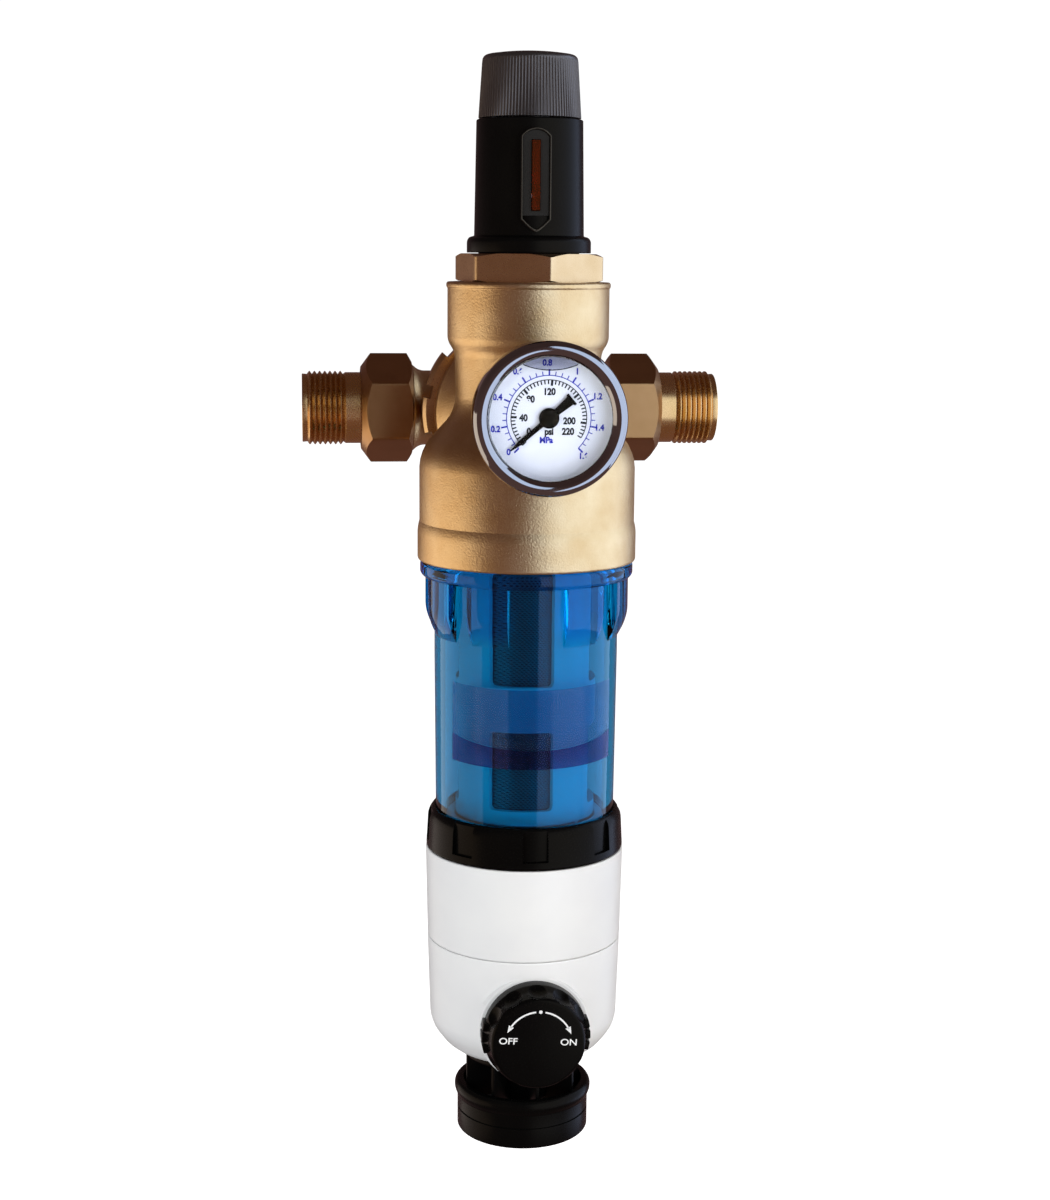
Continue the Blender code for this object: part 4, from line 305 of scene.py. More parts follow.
GAUZE = woven("stainless_gauze", 0.8)
print("Gauze:", GAUZE.name)

# %% [markdown]
# ## Shaping tools
# Nearly every piece is turned, so one function takes the outline of half a section, rounds its
# corners while it is still a wire, and spins it. A third number on a point is the radius of its
# corner. Other shapes are blocks, bars and hexagons, joined or cut with a Boolean.

# %% Turned shapes
WELD, TOUCH = 1e-4, 1e-3


def as_mesh(name, shape):
    """The shape written to a new mesh, and freed."""
    mesh = bpy.data.meshes.new(name)
    shape.to_mesh(mesh)
    shape.free()
    return mesh


def in_scene(name, data):
    """A new object in the scene that shows this data."""
    obj = bpy.data.objects.new(name, data)
    bpy.context.scene.collection.objects.link(obj)
    return obj


def clean(shape, gap=WELD):
    """The shape with its seams welded and its faces pointing out."""
    bmesh.ops.remove_doubles(shape, verts=shape.verts, dist=gap)
    bmesh.ops.recalc_face_normals(shape, faces=shape.faces)
    return shape


def rounded(shape, parts, radius, segments, affect="EDGES"):
    """These edges or corners of the shape rounded."""
    bmesh.ops.bevel(
        shape, geom=parts, offset=radius, offset_type="OFFSET", segments=segments, profile=0.5,
        affect=affect, clamp_overlap=True, material=-1,
    )


def wire(points, angle=0.0):
    """The outline as a wire standing at this angle, with its corners rounded."""
    shape = bmesh.new()
    places = [(point[0] * cos(angle), point[0] * sin(angle), point[1]) for point in points]
    verts = [shape.verts.new(place) for place in places]
    for ends in zip(verts, verts[1:]):
        shape.edges.new(ends)
    if points[0][0] > 0 or points[-1][0] > 0:
        shape.edges.new((verts[-1], verts[0]))
    for radius in sorted({point[2] for point in points if len(point) > 2}):
        corners = [
            vert for vert, point in zip(verts, points) if len(point) > 2 and point[2] == radius
        ]
        rounded(shape, corners, radius, 4, "VERTICES")
    return shape


def turned(points, steps=ROUND):
    """The outline spun all the way round the Z axis."""
    shape = wire(points)
    bmesh.ops.spin(
        shape, geom=shape.verts[:] + shape.edges[:], cent=(0, 0, 0), axis=(0, 0, 1),
        angle=2 * pi, steps=steps, use_merge=True,
    )
    return clean(shape)


def swept(shape, angle, steps, gap=WELD):
    """A filled outline spun through part of a turn."""
    bmesh.ops.spin(
        shape, geom=shape.faces[:] + shape.edges[:] + shape.verts[:], cent=(0, 0, 0),
        axis=(0, 0, 1), angle=angle, steps=steps, use_merge=False,
    )
    return clean(shape, gap)


def sector(points, sweep, middle, steps):
    """A closed block: the outline filled, then spun through part of a turn."""
    start = radians(middle - sweep / 2)
    shape = wire(points, start)
    bmesh.ops.contextual_create(shape, geom=shape.edges[:])
    return swept(shape, radians(sweep), steps)


print("A turned washer has", len(turned([(1, 0), (2, 0), (2, 1), (1, 1)]).faces), "faces")

# %% Blocks, bars and hexagons
def block(sides, centre, soft=0.0, segments=3):
    """A block with all its edges rounded."""
    shape = bmesh.new()
    bmesh.ops.create_cube(shape, size=1.0)
    bmesh.ops.scale(shape, vec=sides, verts=shape.verts)
    if soft:
        rounded(shape, shape.edges[:], soft, segments)
    bmesh.ops.translate(shape, vec=centre, verts=shape.verts)
    return shape


def hexagon(flats, low, high, turn, soft):
    """A hexagonal bar with its long edges rounded and a flat at the front before its turn."""
    shape = bmesh.new()
    corner = flats / 2 / cos(pi / 6)
    bmesh.ops.create_cone(
        shape, cap_ends=True, segments=6, radius1=corner, radius2=corner, depth=high - low
    )
    upright = [edge for edge in shape.edges if abs(edge.verts[0].co.z - edge.verts[1].co.z) > 1e-6]
    rounded(shape, upright, soft, 3)
    middle = Matrix.Translation((0, 0, (low + high) / 2))
    return moved(shape, middle @ about_z(pi / 6 + radians(turn)))


def is_corner(edge):
    """Whether the two faces at this edge meet sharply."""
    return len(edge.link_faces) == 2 and edge.calc_face_angle() > radians(60)


def moved(shape, matrix):
    """The shape after this turn, shift or scale."""
    bmesh.ops.transform(shape, matrix=matrix, verts=shape.verts)
    return shape


def together(shapes):
    """Several shapes as one, left as separate shells."""
    whole = bmesh.new()
    for shape in shapes:
        working = as_mesh("working", shape)
        whole.from_mesh(working)
        bpy.data.meshes.remove(working)
    return whole


def around(make, count, first=0.0):
    """Copies of a shape, evenly around the Z axis."""
    turns = [radians(first + 360 * index / count) for index in range(count)]
    return together([moved(make(), about_z(turn)) for turn in turns])


print("A hexagon has", len(hexagon(10, 0, 5, 0, 0.5).faces), "faces once its edges are rounded")

# %% [markdown]
# ## Joining, cutting and placing
# A Boolean modifier does the joining and cutting, and its result is read back at once, so that no
# tool is left in the scene. A finished piece has its place in its mesh and its own origin at the
# middle of the world. It rides on the body that carries it, which is the filter unless a call names
# another one, and hides the plain node it stands for.

# %% Boolean helper
def combined(base, operation, tool):
    """The base after a union, a difference or an intersection with the tool."""
    pair = [in_scene("working", as_mesh("working", shape)) for shape in (base, tool)]
    step = pair[0].modifiers.new("step", "BOOLEAN")
    step.operation = operation
    step.object = pair[1]
    step.solver = "EXACT"
    bpy.context.view_layer.update()
    graph = bpy.context.evaluated_depsgraph_get()
    mesh = bpy.data.meshes.new_from_object(pair[0].evaluated_get(graph))
    result = bmesh.new()
    result.from_mesh(mesh)
    for obj in pair:
        used = obj.data
        bpy.data.objects.remove(obj, do_unlink=True)
        bpy.data.meshes.remove(used)
    bpy.data.meshes.remove(mesh)
    return result


def joined(base, *tools):
    """The base with each tool joined to it in turn."""
    for tool in tools:
        base = combined(base, "UNION", tool)
    return base


def cut(base, *tools):
    """The base with each tool cut from it in turn."""
    for tool in tools:
        base = combined(base, "DIFFERENCE", tool)
    return base


# %% Placing helper
def piece(
    name, shape, finish, stands_for=(), turn=UPRIGHT, at=COLUMN, crease=32, body="filter"
):
    """The finished object: placed, in metres, shaded, and riding on its body."""
    moved(shape, Matrix.Scale(MM, 4) @ Matrix.Translation(at) @ turn)
    mesh = as_mesh(name, clean(shape, 1e-7))
    mesh.materials.clear()
    mesh.materials.append(finish)
    mesh.shade_smooth()
    mesh.set_sharp_from_angle(angle=radians(crease))
    obj = in_scene(name, mesh)
    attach(obj, body)
    if stands_for:
        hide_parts(*stands_for)
    print(name, "has", len(mesh.polygons), "faces")
    return obj


# %% [markdown]
# ## Pieces that keep their plain shape
# The parts inside, such as the valve, its spring and the ball, are hardly seen, and their node
# shapes are right as they are. Each one only gets the finish of its material slot.

# %% Finishes for the nodes
BY_SLOT = {
    "cast_brass": MACHINED_BRASS,
    "steel": STAINLESS,
    "chrome": CHROME,
    "bronze": BRONZE,
    "black_rubber": RUBBER,
    "black_plastic": BLACK_NYLON,
    "grey_plastic": GREY_ABS,
    "white_plastic": WHITE_ACETAL,
    "dial_enamel": DIAL_ENAMEL,
    "red_plastic": RED_ACETAL,
    "clear_lens": LENS_CLEAR,
    "clear_blue_bowl": BLUE_CLEAR,
}
for part in frame["record"]["subparts"]:
    node = frame["nodes"][part["node"]]
    for held in node.material_slots:
        held.material = BY_SLOT[part["material_slot"]]
frame["nodes"]["window_lens"].material_slots[0].material = SMOKED_AMBER

# %% [markdown]
# ## Pipe connector
# The connector is one brass casting: a run of pipe with a machined thread at each end, and a round
# port that faces the filter. It is turned in two directions and joined, then bored.

# %% Connector
run = [
    (0, -58.6), (18.9, -58.6, 0.6), (18.9, -44.4), (19.5, -44.4, 0.3), (16.8, -41.1, 2.0),
    (16.8, 41.1, 2.0), (19.5, 44.4, 0.3), (18.9, 44.4), (18.9, 58.6, 0.6), (0, 58.6),
]
port = [(0, 3), (15.8, 3), (23, 12, 2.0), (23, 20.2), (33, 20.2, 0.4), (33, 23, 0.4), (0, 23)]
casting = joined(moved(turned(run), RIGHTWARDS), moved(turned(port), FORWARDS))
casting = cut(
    casting,
    moved(turned([(0, -60), (12.5, -60), (12.5, -15), (0, -15)]), RIGHTWARDS),
    moved(turned([(0, -5), (12.5, -5), (12.5, 60), (0, 60)]), RIGHTWARDS),
    moved(turned([(0, 0), (9, 0), (9, 24), (0, 24)]), FORWARDS),
)
piece(
    "cast_connector", casting, CAST_BRASS, ["pipe_connector"], at=PIPE,
    body="connector",
)

# %% [markdown]
# ## Tailpieces and union nuts
# Each end has a tailpiece with a 33 mm pipe thread, 2.3 mm from crest to crest, and a loose hexagon
# nut. The thread is drawn as a row of sharp rings, which looks the same as a helix at this size.
# The nut is a hexagon kept inside a turned shape, which gives it its curved chamfers.

# %% Tailpiece outline
PITCH, CREST, ROOT = 2.31, 16.55, 15.2
THREAD_START, THREAD_END = 75.6, 93.2


def tail_outline():
    """The tailpiece from its collar to its threaded end."""
    points = [(12.5, 60.9), (18.9, 60.9, 0.4), (18.9, 63.9, 0.4), (16.0, 63.9), (16.0, 74.6)]
    at = THREAD_START
    while at + PITCH < THREAD_END:
        points += [(ROOT, at), (CREST, at + PITCH * 0.42), (CREST, at + PITCH * 0.58)]
        at += PITCH
    return points + [(ROOT, at), (15.4, 94.0, 0.3), (12.5, 94.0)]


for side, turn in (("left", LEFTWARDS), ("right", RIGHTWARDS)):
    piece(
        side + "_threaded_tail", turned(tail_outline()), TURNED_BRASS,
        [side + "_tailpiece"], turn, PIPE, body="connector",
    )

# %% Union nuts
def union_nut():
    """A hexagon with turned chamfers at both ends and a stepped bore."""
    form = [
        (19.2, 44.7), (20.9, 44.7), (25.4, 47.3), (25.4, 62.6), (18.6, 67.6), (17.0, 67.6),
        (17.0, 64.2), (19.2, 64.2),
    ]
    return combined(hexagon(43, 44.7, 67.6, 0, 0.7), "INTERSECT", turned(form))


for side, turn in (("left", LEFTWARDS), ("right", RIGHTWARDS)):
    piece(
        side + "_hexagon_nut", union_nut(), NUT_BRASS, [side + "_union_nut"],
        turn, PIPE, 20, side + "_nut",
    )

# %% [markdown]
# ## Slotted coupling nut
# Behind the body sits a brass ring nut with twelve slots for a hook spanner. It draws the body
# against the connector. It is turned with a bright chamfer, and the slots are cut from it.

# %% Coupling nut
ring = turned([
    (23.3, 17.4), (40.4, 17.4, 0.5), (41.3, 18.2, 0.3), (41.3, 24.8, 0.2), (39.7, 26.4, 0.2),
    (33.3, 26.4), (33.3, 19.9), (23.3, 19.9),
])
slots = around(lambda: block((4.2, 5.7, 12), (40.2, 0, 22), 0.3, 2), 12, 17)
ring = cut(ring, slots)
piece(
    "slotted_ring", ring, MACHINED_BRASS, ["coupling_nut"], FORWARDS, PIPE,
    body="coupling",
)

# %% [markdown]
# ## Filter body
# The body is the main casting. Its upper part takes the valve, the wide lower part takes the bowl,
# and a flanged port joins it to the connector. Soft corners show that it was cast, and the band at
# its foot is machined, so that one is a piece of its own, in the same cast brass finish.

# %% Body casting
body = turned([
    (0, -42.1), (45.6, -42.1), (45.6, -12.4, 7.0), (30.2, 4.4, 6.0), (30.8, 28.7, 2.0),
    (33.8, 33.4, 2.0), (33.8, 55.2, 0.3), (34.3, 55.8, 0.4), (34.3, 57.2, 0.4), (33.7, 57.8, 0.2),
    (0, 57.8),
])
rear = moved(turned([
    (0, 0), (26, 0), (26, 24.5, 5.0), (35.2, 37.5, 0.8), (36, 38.4, 0.6), (36, 45.9, 0.5),
    (33, 45.9), (33, 49.3, 0.4), (0, 49.3),
]), BACKWARDS)
boss = moved(turned([(0, 0), (13, 0), (13, 29, 1.5), (11, 32.5, 1.5), (11, 39, 0.6), (0, 39)]),
             Matrix.Translation((0, 0, GAUGE_Z)) @ FORWARDS)
body = joined(body, rear, boss)
hollows = [
    turned([(0, -45), (38.5, -45), (38.5, -22), (30, -14), (0, -14)]),
    turned([(0, 2), (23, 2), (23, 40), (27.5, 40), (27.5, 60), (0, 60)]),
    turned([(0, -16), (14, -16), (14, 4), (0, 4)]),
    moved(turned([(0, 18), (9, 18), (9, 51), (0, 51)]), BACKWARDS),
]
body = cut(body, *hollows)
piece("cast_body", body, CAST_BRASS, ["filter_body"])

# %% Skimmed band
band = turned([
    (39.8, -58.5), (46.0, -58.5, 0.3), (46.4, -57.6, 0.3), (46.4, -45.0, 2.0), (45.6, -42.05),
    (38.5, -42.05), (38.5, -43.7), (39.8, -43.7),
])
piece("skimmed_band", band, CAST_BRASS)

# %% [markdown]
# ## Hexagon ring
# A wide hexagon ring screws down on the diaphragm and holds the spring bonnet. One of its corners
# shows a little to the right of the middle. Its ends are turned down to a circle.

# %% Hexagon ring
form = turned([
    (23.6, 44.2), (27.2, 44.2), (27.2, 58.1), (29.6, 58.1), (33.6, 59.4), (33.6, 67.2),
    (28.2, 69.4), (21.3, 69.4), (21.3, 56.0), (23.6, 56.0),
])
hex_ring = combined(hexagon(55, 44.2, 69.4, -19.7, 0.9), "INTERSECT", form)
piece(
    "hexagon_ring", hex_ring, MACHINED_BRASS, ["bonnet_hex_ring"], crease=20
)

# %% [markdown]
# ## Spring bonnet and its window
# The black bonnet holds the setting spring. A raised frame on its front, round at the top and
# nearly pointed at the foot, surrounds a slot in which a red key shows how far the spring is set.

# %% Bonnet
def slot_block():
    """The block that cuts the window's slot."""
    return block((3.8, 12, 28.3), (0, -20.5, 100.55))


bonnet = turned([
    (17.4, 56.3), (21, 56.3), (21, 69.7), (25.8, 69.7, 0.3), (25.8, 74.4, 0.5), (25.0, 76.0, 0.8),
    (22.8, 76.6, 0.3), (22.0, 123.6, 0.6), (5.3, 123.6), (5.3, 119.6), (17.4, 119.6),
])
bonnet = cut(bonnet, slot_block())
piece("satin_bonnet", bonnet, BLACK_NYLON, ["spring_bonnet"])

# %% Window frame
FRAME_WIDTH, FRAME_FOOT, FRAME_MIDDLE, FRAME_HEAD = 12.4, 78.1, 99, 119.4
FRAME_FRONT = -23.6
HEAD_R = 7.4
FOOT_SOFT, FOOT_SLOPE = 2.0, 1.1


def window_plate(inset, front, back):
    """A tall plate with a low arch at its head and a nearly pointed foot, smaller by the inset."""
    shape = bmesh.new()
    bmesh.ops.create_cube(shape, size=1.0)
    half = FRAME_WIDTH / 2 - inset
    low, high = FRAME_FOOT + inset, FRAME_HEAD - inset
    bmesh.ops.scale(shape, vec=(2 * half, back - front, high - low), verts=shape.verts)
    bmesh.ops.translate(shape, vec=(0, (front + back) / 2, (low + high) / 2), verts=shape.verts)
    for top in (True, False):
        corners = [
            edge for edge in shape.edges
            if abs(edge.verts[0].co.y - edge.verts[1].co.y) > TOUCH
            and all(
                abs(vert.co.x) > half - TOUCH and (vert.co.z > FRAME_MIDDLE) == top
                for vert in edge.verts
            )
        ]
        rounded(shape, corners, half * 0.97, 10)
    for vert in shape.verts:
        if vert.co.z > FRAME_MIDDLE:
            vert.co.z = FRAME_HEAD - HEAD_R + sqrt((HEAD_R - inset) ** 2 - vert.co.x ** 2)
        else:
            fall = FOOT_SLOPE * (hypot(vert.co.x, FOOT_SOFT) - FOOT_SOFT)
            vert.co.z = FRAME_FOOT + inset * hypot(1, FOOT_SLOPE) + fall
    return shape


rim = cut(window_plate(0, FRAME_FRONT, -17.6), window_plate(0.75, -30, -15))
front = [
    edge for edge in rim.edges
    if all(vert.co.y < FRAME_FRONT + 0.1 for vert in edge.verts) and is_corner(edge)
]
rounded(rim, front, 0.28, 2)
foot_block = block((20, 12, 10), (0, -22, 79.6))
panel = cut(window_plate(0.95, -22.75, -22.0), slot_block(), foot_block)
piece("window_frame", rim, RUBBED_EDGE)
piece("window_panel", panel, SMOKED_PANEL)

# %% [markdown]
# ## Setting knob
# The knob tapers upwards and its side is covered with fine upright ribs for grip. The outline is
# spun in many narrow steps, and every other pair of steps is drawn in a little.

# %% Ribbed knob
KNOB_Z, RIBS, STEPS_PER_RIB = 124.1, 96, 4
RIBBED_R, RIBBED_TOP, VALLEY = 19.4, 23, 0.981


def ribbed_knob():
    """The knob with its ribs, as seen from outside and hollow below."""
    shape = turned([
        (0, 7.7), (5.3, 7.7), (5.3, 0), (9, 0), (9, 21.7), (17.0, 21.7), (18.6, 0), (21.2, 0, 0.3),
        (19.75, 22.4), (19.55, 23.9, 0.5), (18.6, 25.2, 0.8), (11.8, 26.2, 3.0), (0, 26.8),
    ], RIBS * STEPS_PER_RIB)
    step = 360 / (RIBS * STEPS_PER_RIB)
    valleys = [
        vert for vert in shape.verts
        if hypot(vert.co.x, vert.co.y) > RIBBED_R and vert.co.z < RIBBED_TOP
        and round(degrees(atan2(vert.co.y, vert.co.x)) / step) % STEPS_PER_RIB in (0, 1)
    ]
    bmesh.ops.scale(shape, vec=(VALLEY, VALLEY, 1), verts=valleys)
    return shape


piece(
    "ribbed_setting_knob", ribbed_knob(), GREY_ABS, ["setting_knob"],
    at=COLUMN + Vector((0, 0, KNOB_Z)), body="adjuster",
)

# %% [markdown]
# ## Pressure gauge
# The gauge is a steel case with a rolled chrome bezel, 60 mm across, on a brass socket. Its case is
# filled with glycerine, and the air left at the top shows as a lens shaped bubble.

# %% Gauge case and bezel
def on_gauge(name, shape, finish, stands_for=(), body="filter"):
    """A piece of the gauge: drawn facing up, and turned to face forwards."""
    return piece(name, shape, finish, stands_for, FORWARDS, GAUGE, body=body)


case = turned([(6.3, 53), (27.6, 53, 2.2), (27.6, 75.5), (26.2, 75.5), (26.2, 54.4), (6.3, 54.4)])
bezel = turned([
    (27.9, 67), (29.4, 67, 0.4), (30.1, 67.7, 0.4), (30.1, 78.4, 1.4), (28.2, 80.2, 1.2),
    (25.9, 80.2, 1.2), (23.8, 78.1, 0.3), (23.8, 77.6), (27.9, 77.6),
])
lens = turned([(0, 75.8), (27.4, 75.8), (27.4, 77.3), (0, 77.3)])
on_gauge("steel_case", case, STAINLESS, ["gauge_case"])
on_gauge("rolled_bezel", bezel, CHROME, ["gauge_bezel"])
on_gauge("gauge_glass", lens, LENS_CLEAR, ["gauge_lens"])

# %% Gauge socket
socket = turned([
    (0, 28), (5.6, 28), (6.3, 29, 0.2), (6.3, 41.1), (7.4, 41.1), (8.1, 41.8), (8.1, 50.4),
    (7.4, 51.1), (6.0, 51.1), (6.0, 59.7), (0, 59.7),
])
socket = combined(hexagon(14, 27, 60, 0, 0.4), "INTERSECT", socket)
dial = turned([(2.3, 70.0), (25.9, 70.0), (25.9, 70.8), (2.3, 70.8)])
on_gauge("hexagon_socket", socket, MACHINED_BRASS, ["gauge_socket"])
on_gauge("printed_dial", dial, DIAL_ENAMEL, ["gauge_dial"])

# %% [markdown]
# ## Dial print
# The outer scale runs from 0 to 1.6 MPa in blue and the inner one from 0 to 220 psi in black. They
# share a sweep of three quarters of a turn, at whose end 1.6 MPa is 232 psi. Ticks are thin bars
# placed by their angle, and the numbers are text turned into mesh.

# %% Dial scales
PRINT, INK = 70.85, 0.08
SWEEP = 270.0
MPA_TICKS, PSI_FULL, PSI_LAST = 32, 232, 220


def tick(angle, inner, outer, width):
    """A bar across the scale, at an angle measured clockwise from the top."""
    length = outer - inner
    bar = block((width, length, INK), (0, inner + length / 2, PRINT))
    return moved(bar, about_z(radians(-angle)))


def arc(inner, outer, start, end):
    """A thin band of the scale, between two angles measured clockwise from the top."""
    low, high = PRINT - INK / 2, PRINT + INK / 2
    points = [(inner, low), (outer, low), (outer, high), (inner, high)]
    return sector(points, end - start, 90 - (start + end) / 2, 72)


blue_scale = [arc(16.3, 16.65, -SWEEP / 2, SWEEP / 2)]
for step in range(MPA_TICKS + 1):
    major = step % 4 == 0
    angle = SWEEP * (step / MPA_TICKS - 0.5)
    blue_scale.append(tick(angle, 16.5, 18.9 if major else 18.1, 0.65 if major else 0.38))
black_scale = [arc(14.6, 14.95, -SWEEP / 2, SWEEP * (PSI_LAST / PSI_FULL - 0.5))]
for value in range(0, PSI_LAST + 1, 5):
    major = value % 40 == 0
    angle = SWEEP * (value / PSI_FULL - 0.5)
    black_scale.append(tick(angle, 12.5 if major else 13.1, 14.8, 0.9 if major else 0.52))
on_gauge("megapascal_scale", together(blue_scale), BLUE_INK)
on_gauge("psi_scale", together(black_scale), BLACK_INK)

# %% Lettering helper
def lettering(words, size, centre, depth, heavy, wide):
    """Words as a thin mesh that faces up, centred on a point, with fatter strokes."""
    text = bpy.data.curves.new("words", "FONT")
    text.body = words
    text.size = size
    text.offset = heavy
    text.align_x = "CENTER"
    text.align_y = "CENTER"
    text.extrude = depth / 2
    obj = in_scene("words", text)
    bpy.context.view_layer.update()
    graph = bpy.context.evaluated_depsgraph_get()
    mesh = bpy.data.meshes.new_from_object(obj.evaluated_get(graph))
    bpy.data.objects.remove(obj, do_unlink=True)
    bpy.data.curves.remove(text)
    shape = bmesh.new()
    shape.from_mesh(mesh)
    bpy.data.meshes.remove(mesh)
    return moved(shape, Matrix.Translation(centre) @ Matrix.Scale(wide, 4, (1, 0, 0)))


# %% Dial numbers
BLUE_PLACES = {
    "0": (-15.6, -13.2), "0.2": (-20.7, -4.3), "0.4": (-20.0, 8.0), "0.6": (-12.2, 17.9),
    "0.8": (-0.8, 21.3), "1": (10.9, 17.9), "1.2": (18.9, 8.3), "1.4": (19.8, -3.8),
    "1.6": (13.6, -14.8), "MPa": (-1.0, -8.6),
}
BLACK_PLACES = {
    "0": (-7.8, -5.2), "40": (-9.9, 0.0), "80": (-7.2, 7.2), "120": (0.1, 10.1), "200": (8.0, -1.2),
    "220": (7.5, -5.3), "psi": (0.1, -5.3),
}
blue_words = [
    lettering(words, 3.3, (x, y, PRINT), INK, 0.14, 0.92) for words, (x, y) in BLUE_PLACES.items()
]
black_words = [
    lettering(words, 3.6, (x, y, PRINT), INK, 0.17, 0.88) for words, (x, y) in BLACK_PLACES.items()
]
on_gauge("megapascal_numbers", together(blue_words), BLUE_INK)
on_gauge("psi_numbers", together(black_words), BLACK_INK)

# %% Pointer
def gauge_pointer():
    """The pointer's blade and tail, with the domed hub at its middle."""
    blade = bmesh.new()
    outline = [
        (-2.6, -11.8), (2.6, -11.8), (2.6, -10.8), (1.9, -10.6), (1.3, -3.0), (1.0, 6.0),
        (0.9, 15.0), (0.2, 19.6), (-0.2, 19.6), (-0.9, 15.0), (-1.0, 6.0), (-1.3, -3.0),
        (-1.9, -10.6), (-2.6, -10.8),
    ]
    corners = [blade.verts.new((x, y, 71.7)) for x, y in outline]
    face = blade.faces.new(corners)
    made = bmesh.ops.extrude_face_region(blade, geom=[face])["geom"]
    top = [item for item in made if isinstance(item, bmesh.types.BMVert)]
    bmesh.ops.translate(blade, vec=(0, 0, 0.6), verts=top)
    moved(blade, about_z(radians(130)))
    hub = turned([
        (0, 61.5), (2.0, 61.5), (2.0, 71.4), (4.0, 71.4, 0.2), (4.0, 72.6, 0.8), (2.4, 73.3, 0.6),
        (0, 73.5),
    ], 64)
    return together([blade, hub])


on_gauge(
    "black_pointer", gauge_pointer(), GLOSS_NYLON, ["gauge_pointer"], "pointer"
)

# %% Bubble
BUBBLE_FOOT, BUBBLE_HALF, BUBBLE_RISE = 18.7, 10.6, 2.1
BUBBLE_R = (BUBBLE_HALF ** 2 + BUBBLE_RISE ** 2) / (2 * BUBBLE_RISE)


def bubble_edge():
    """The lower edge of the bubble, as a thin bent rod behind the glass."""
    half = atan2(BUBBLE_HALF, BUBBLE_R - BUBBLE_RISE)
    shape = bmesh.new()
    bmesh.ops.create_circle(shape, cap_ends=True, radius=0.2, segments=8)
    moved(shape, Matrix.Translation((BUBBLE_R, 0, 0)) @ Matrix.Rotation(radians(90), 4, "X"))
    swept(shape, 2 * half, 24, 1e-5)
    turn = about_z(radians(-90) - half)
    return moved(shape, Matrix.Translation((0, BUBBLE_FOOT + BUBBLE_R, 74.6)) @ turn)


air = turned([(0, 74.2), (24.6, 74.2), (24.6, 74.5), (0, 74.5)])
round_edge = turned([(0, 73), (BUBBLE_R, 73), (BUBBLE_R, 76), (0, 76)])
moved(round_edge, Matrix.Translation((0, BUBBLE_FOOT + BUBBLE_R, 0)))
air = combined(air, "INTERSECT", round_edge)
on_gauge("bubble_edge", bubble_edge(), MENISCUS)
on_gauge("bubble_air", air, BUBBLE_AIR)

# %% [markdown]
# ## Bowl
# The bowl is moulded in one piece with its thread, its collar and eight lugs for a strap wrench.
# The lugs are blocks that curve with the bowl and fade out downwards. They are joined to the bowl
# before it becomes see-through, because inner walls would show.

# %% Bowl
BOWL_OUTER, BOWL_INNER = 39.2, 34.6
LUG_TOP = -65.0
LUG_ANGLES = (28.7, 66.1, 113.9, 151.3, 208.7, 246.1, 293.9, 331.3)
bowl = turned([
    (BOWL_INNER, -178.5), (38.6, -178.5, 0.4), (38.6, -166.8), (BOWL_OUTER, -99.1),
    (BOWL_OUTER, -65.6), (43.8, -65.6, 0.5), (45.3, -64.2, 0.9), (45.3, -59.8, 0.9),
    (44.4, -58.8, 0.4), (39.5, -58.8), (39.5, -50.0), (37.7, -50.0), (37.7, -53.0),
    (39.5, -53.0), (39.5, -44.0, 0.5), (BOWL_INNER, -44.0),
])
print("Bowl wall:", round(BOWL_OUTER - BOWL_INNER, 1), "mm at its middle")


def lug():
    """A block on the bowl's wall, full at the top and fading into the wall below."""
    shape = sector([
        (38.2, -91.5), (39.3, -90.7, 2.0), (42.6, -84.5, 3.0), (43.5, -79.5, 2.0), (43.5, LUG_TOP),
        (38.2, LUG_TOP),
    ], 24.0, 0, 12)
    ends = [
        edge for edge in shape.edges
        if is_corner(edge) and all(vert.co.xy.length > BOWL_OUTER + 0.4 for vert in edge.verts)
        and min(vert.co.z for vert in edge.verts) < LUG_TOP - 0.5
    ]
    rounded(shape, ends, 2.0, 2)
    return shape


bowl = joined(bowl, *[moved(lug(), about_z(radians(angle - 90))) for angle in LUG_ANGLES])
piece("clear_bowl", bowl, BLUE_CLEAR, ["filter_bowl"])

# %% [markdown]
# ## Film on the bowl
# A printed film wraps the front of the bowl: a pale upper band and a dark strip whose top edge bows
# down a little. Its print is left off, so both bands stay bare.

# %% Film
FILM_HALF = 57.5


def film(low, high, low_lift, high_lift):
    """A band on the bowl whose two edges lift towards its ends."""
    inner, outer = BOWL_OUTER + 0.08, BOWL_OUTER + 0.25
    points = [(inner, low), (outer, low), (outer, high), (inner, high)]
    shape = sector(points, 2 * FILM_HALF, -90, 48)
    for vert in shape.verts:
        share = degrees(atan2(vert.co.x, -vert.co.y)) / FILM_HALF
        vert.co.z += share * share * (high_lift if vert.co.z > (low + high) / 2 else low_lift)
    return shape


piece("pale_film", film(-133.2, -107.9, 4.5, 0.8), PALE_FILM)
piece("dark_film", film(-141.5, -133.5, 0.8, 4.5), DARK_FILM)

# %% [markdown]
# ## Cage and screens
# Inside the bowl stands a white cage with two rows of windows, and a tube of gauze behind each row.
# The cage is turned, and its windows are cut with curved blocks.

# %% Cage
cage = turned([
    (0, -168.5), (30, -168.5, 0.6), (30, -38.0, 0.8), (13.7, -26.0, 1.0), (13.7, -10.8),
    (11.9, -10.8), (11.9, -7.8), (13.7, -7.8), (13.7, -5.3, 0.3), (11.5, -5.3), (11.5, -27.2),
    (27.5, -39.3), (27.5, -166.0), (0, -166.0),
])


def window(low, high, inner=26, outer=31):
    """A curved block with round corners, as wide as one window of the cage."""
    shape = sector([(inner, low), (outer, low), (outer, high), (inner, high)], 52, -100, 12)
    corners = [
        edge for edge in shape.edges
        if abs(edge.calc_length() - (outer - inner)) < 0.1 and is_corner(edge)
    ]
    rounded(shape, corners, 3.6, 5)
    return shape


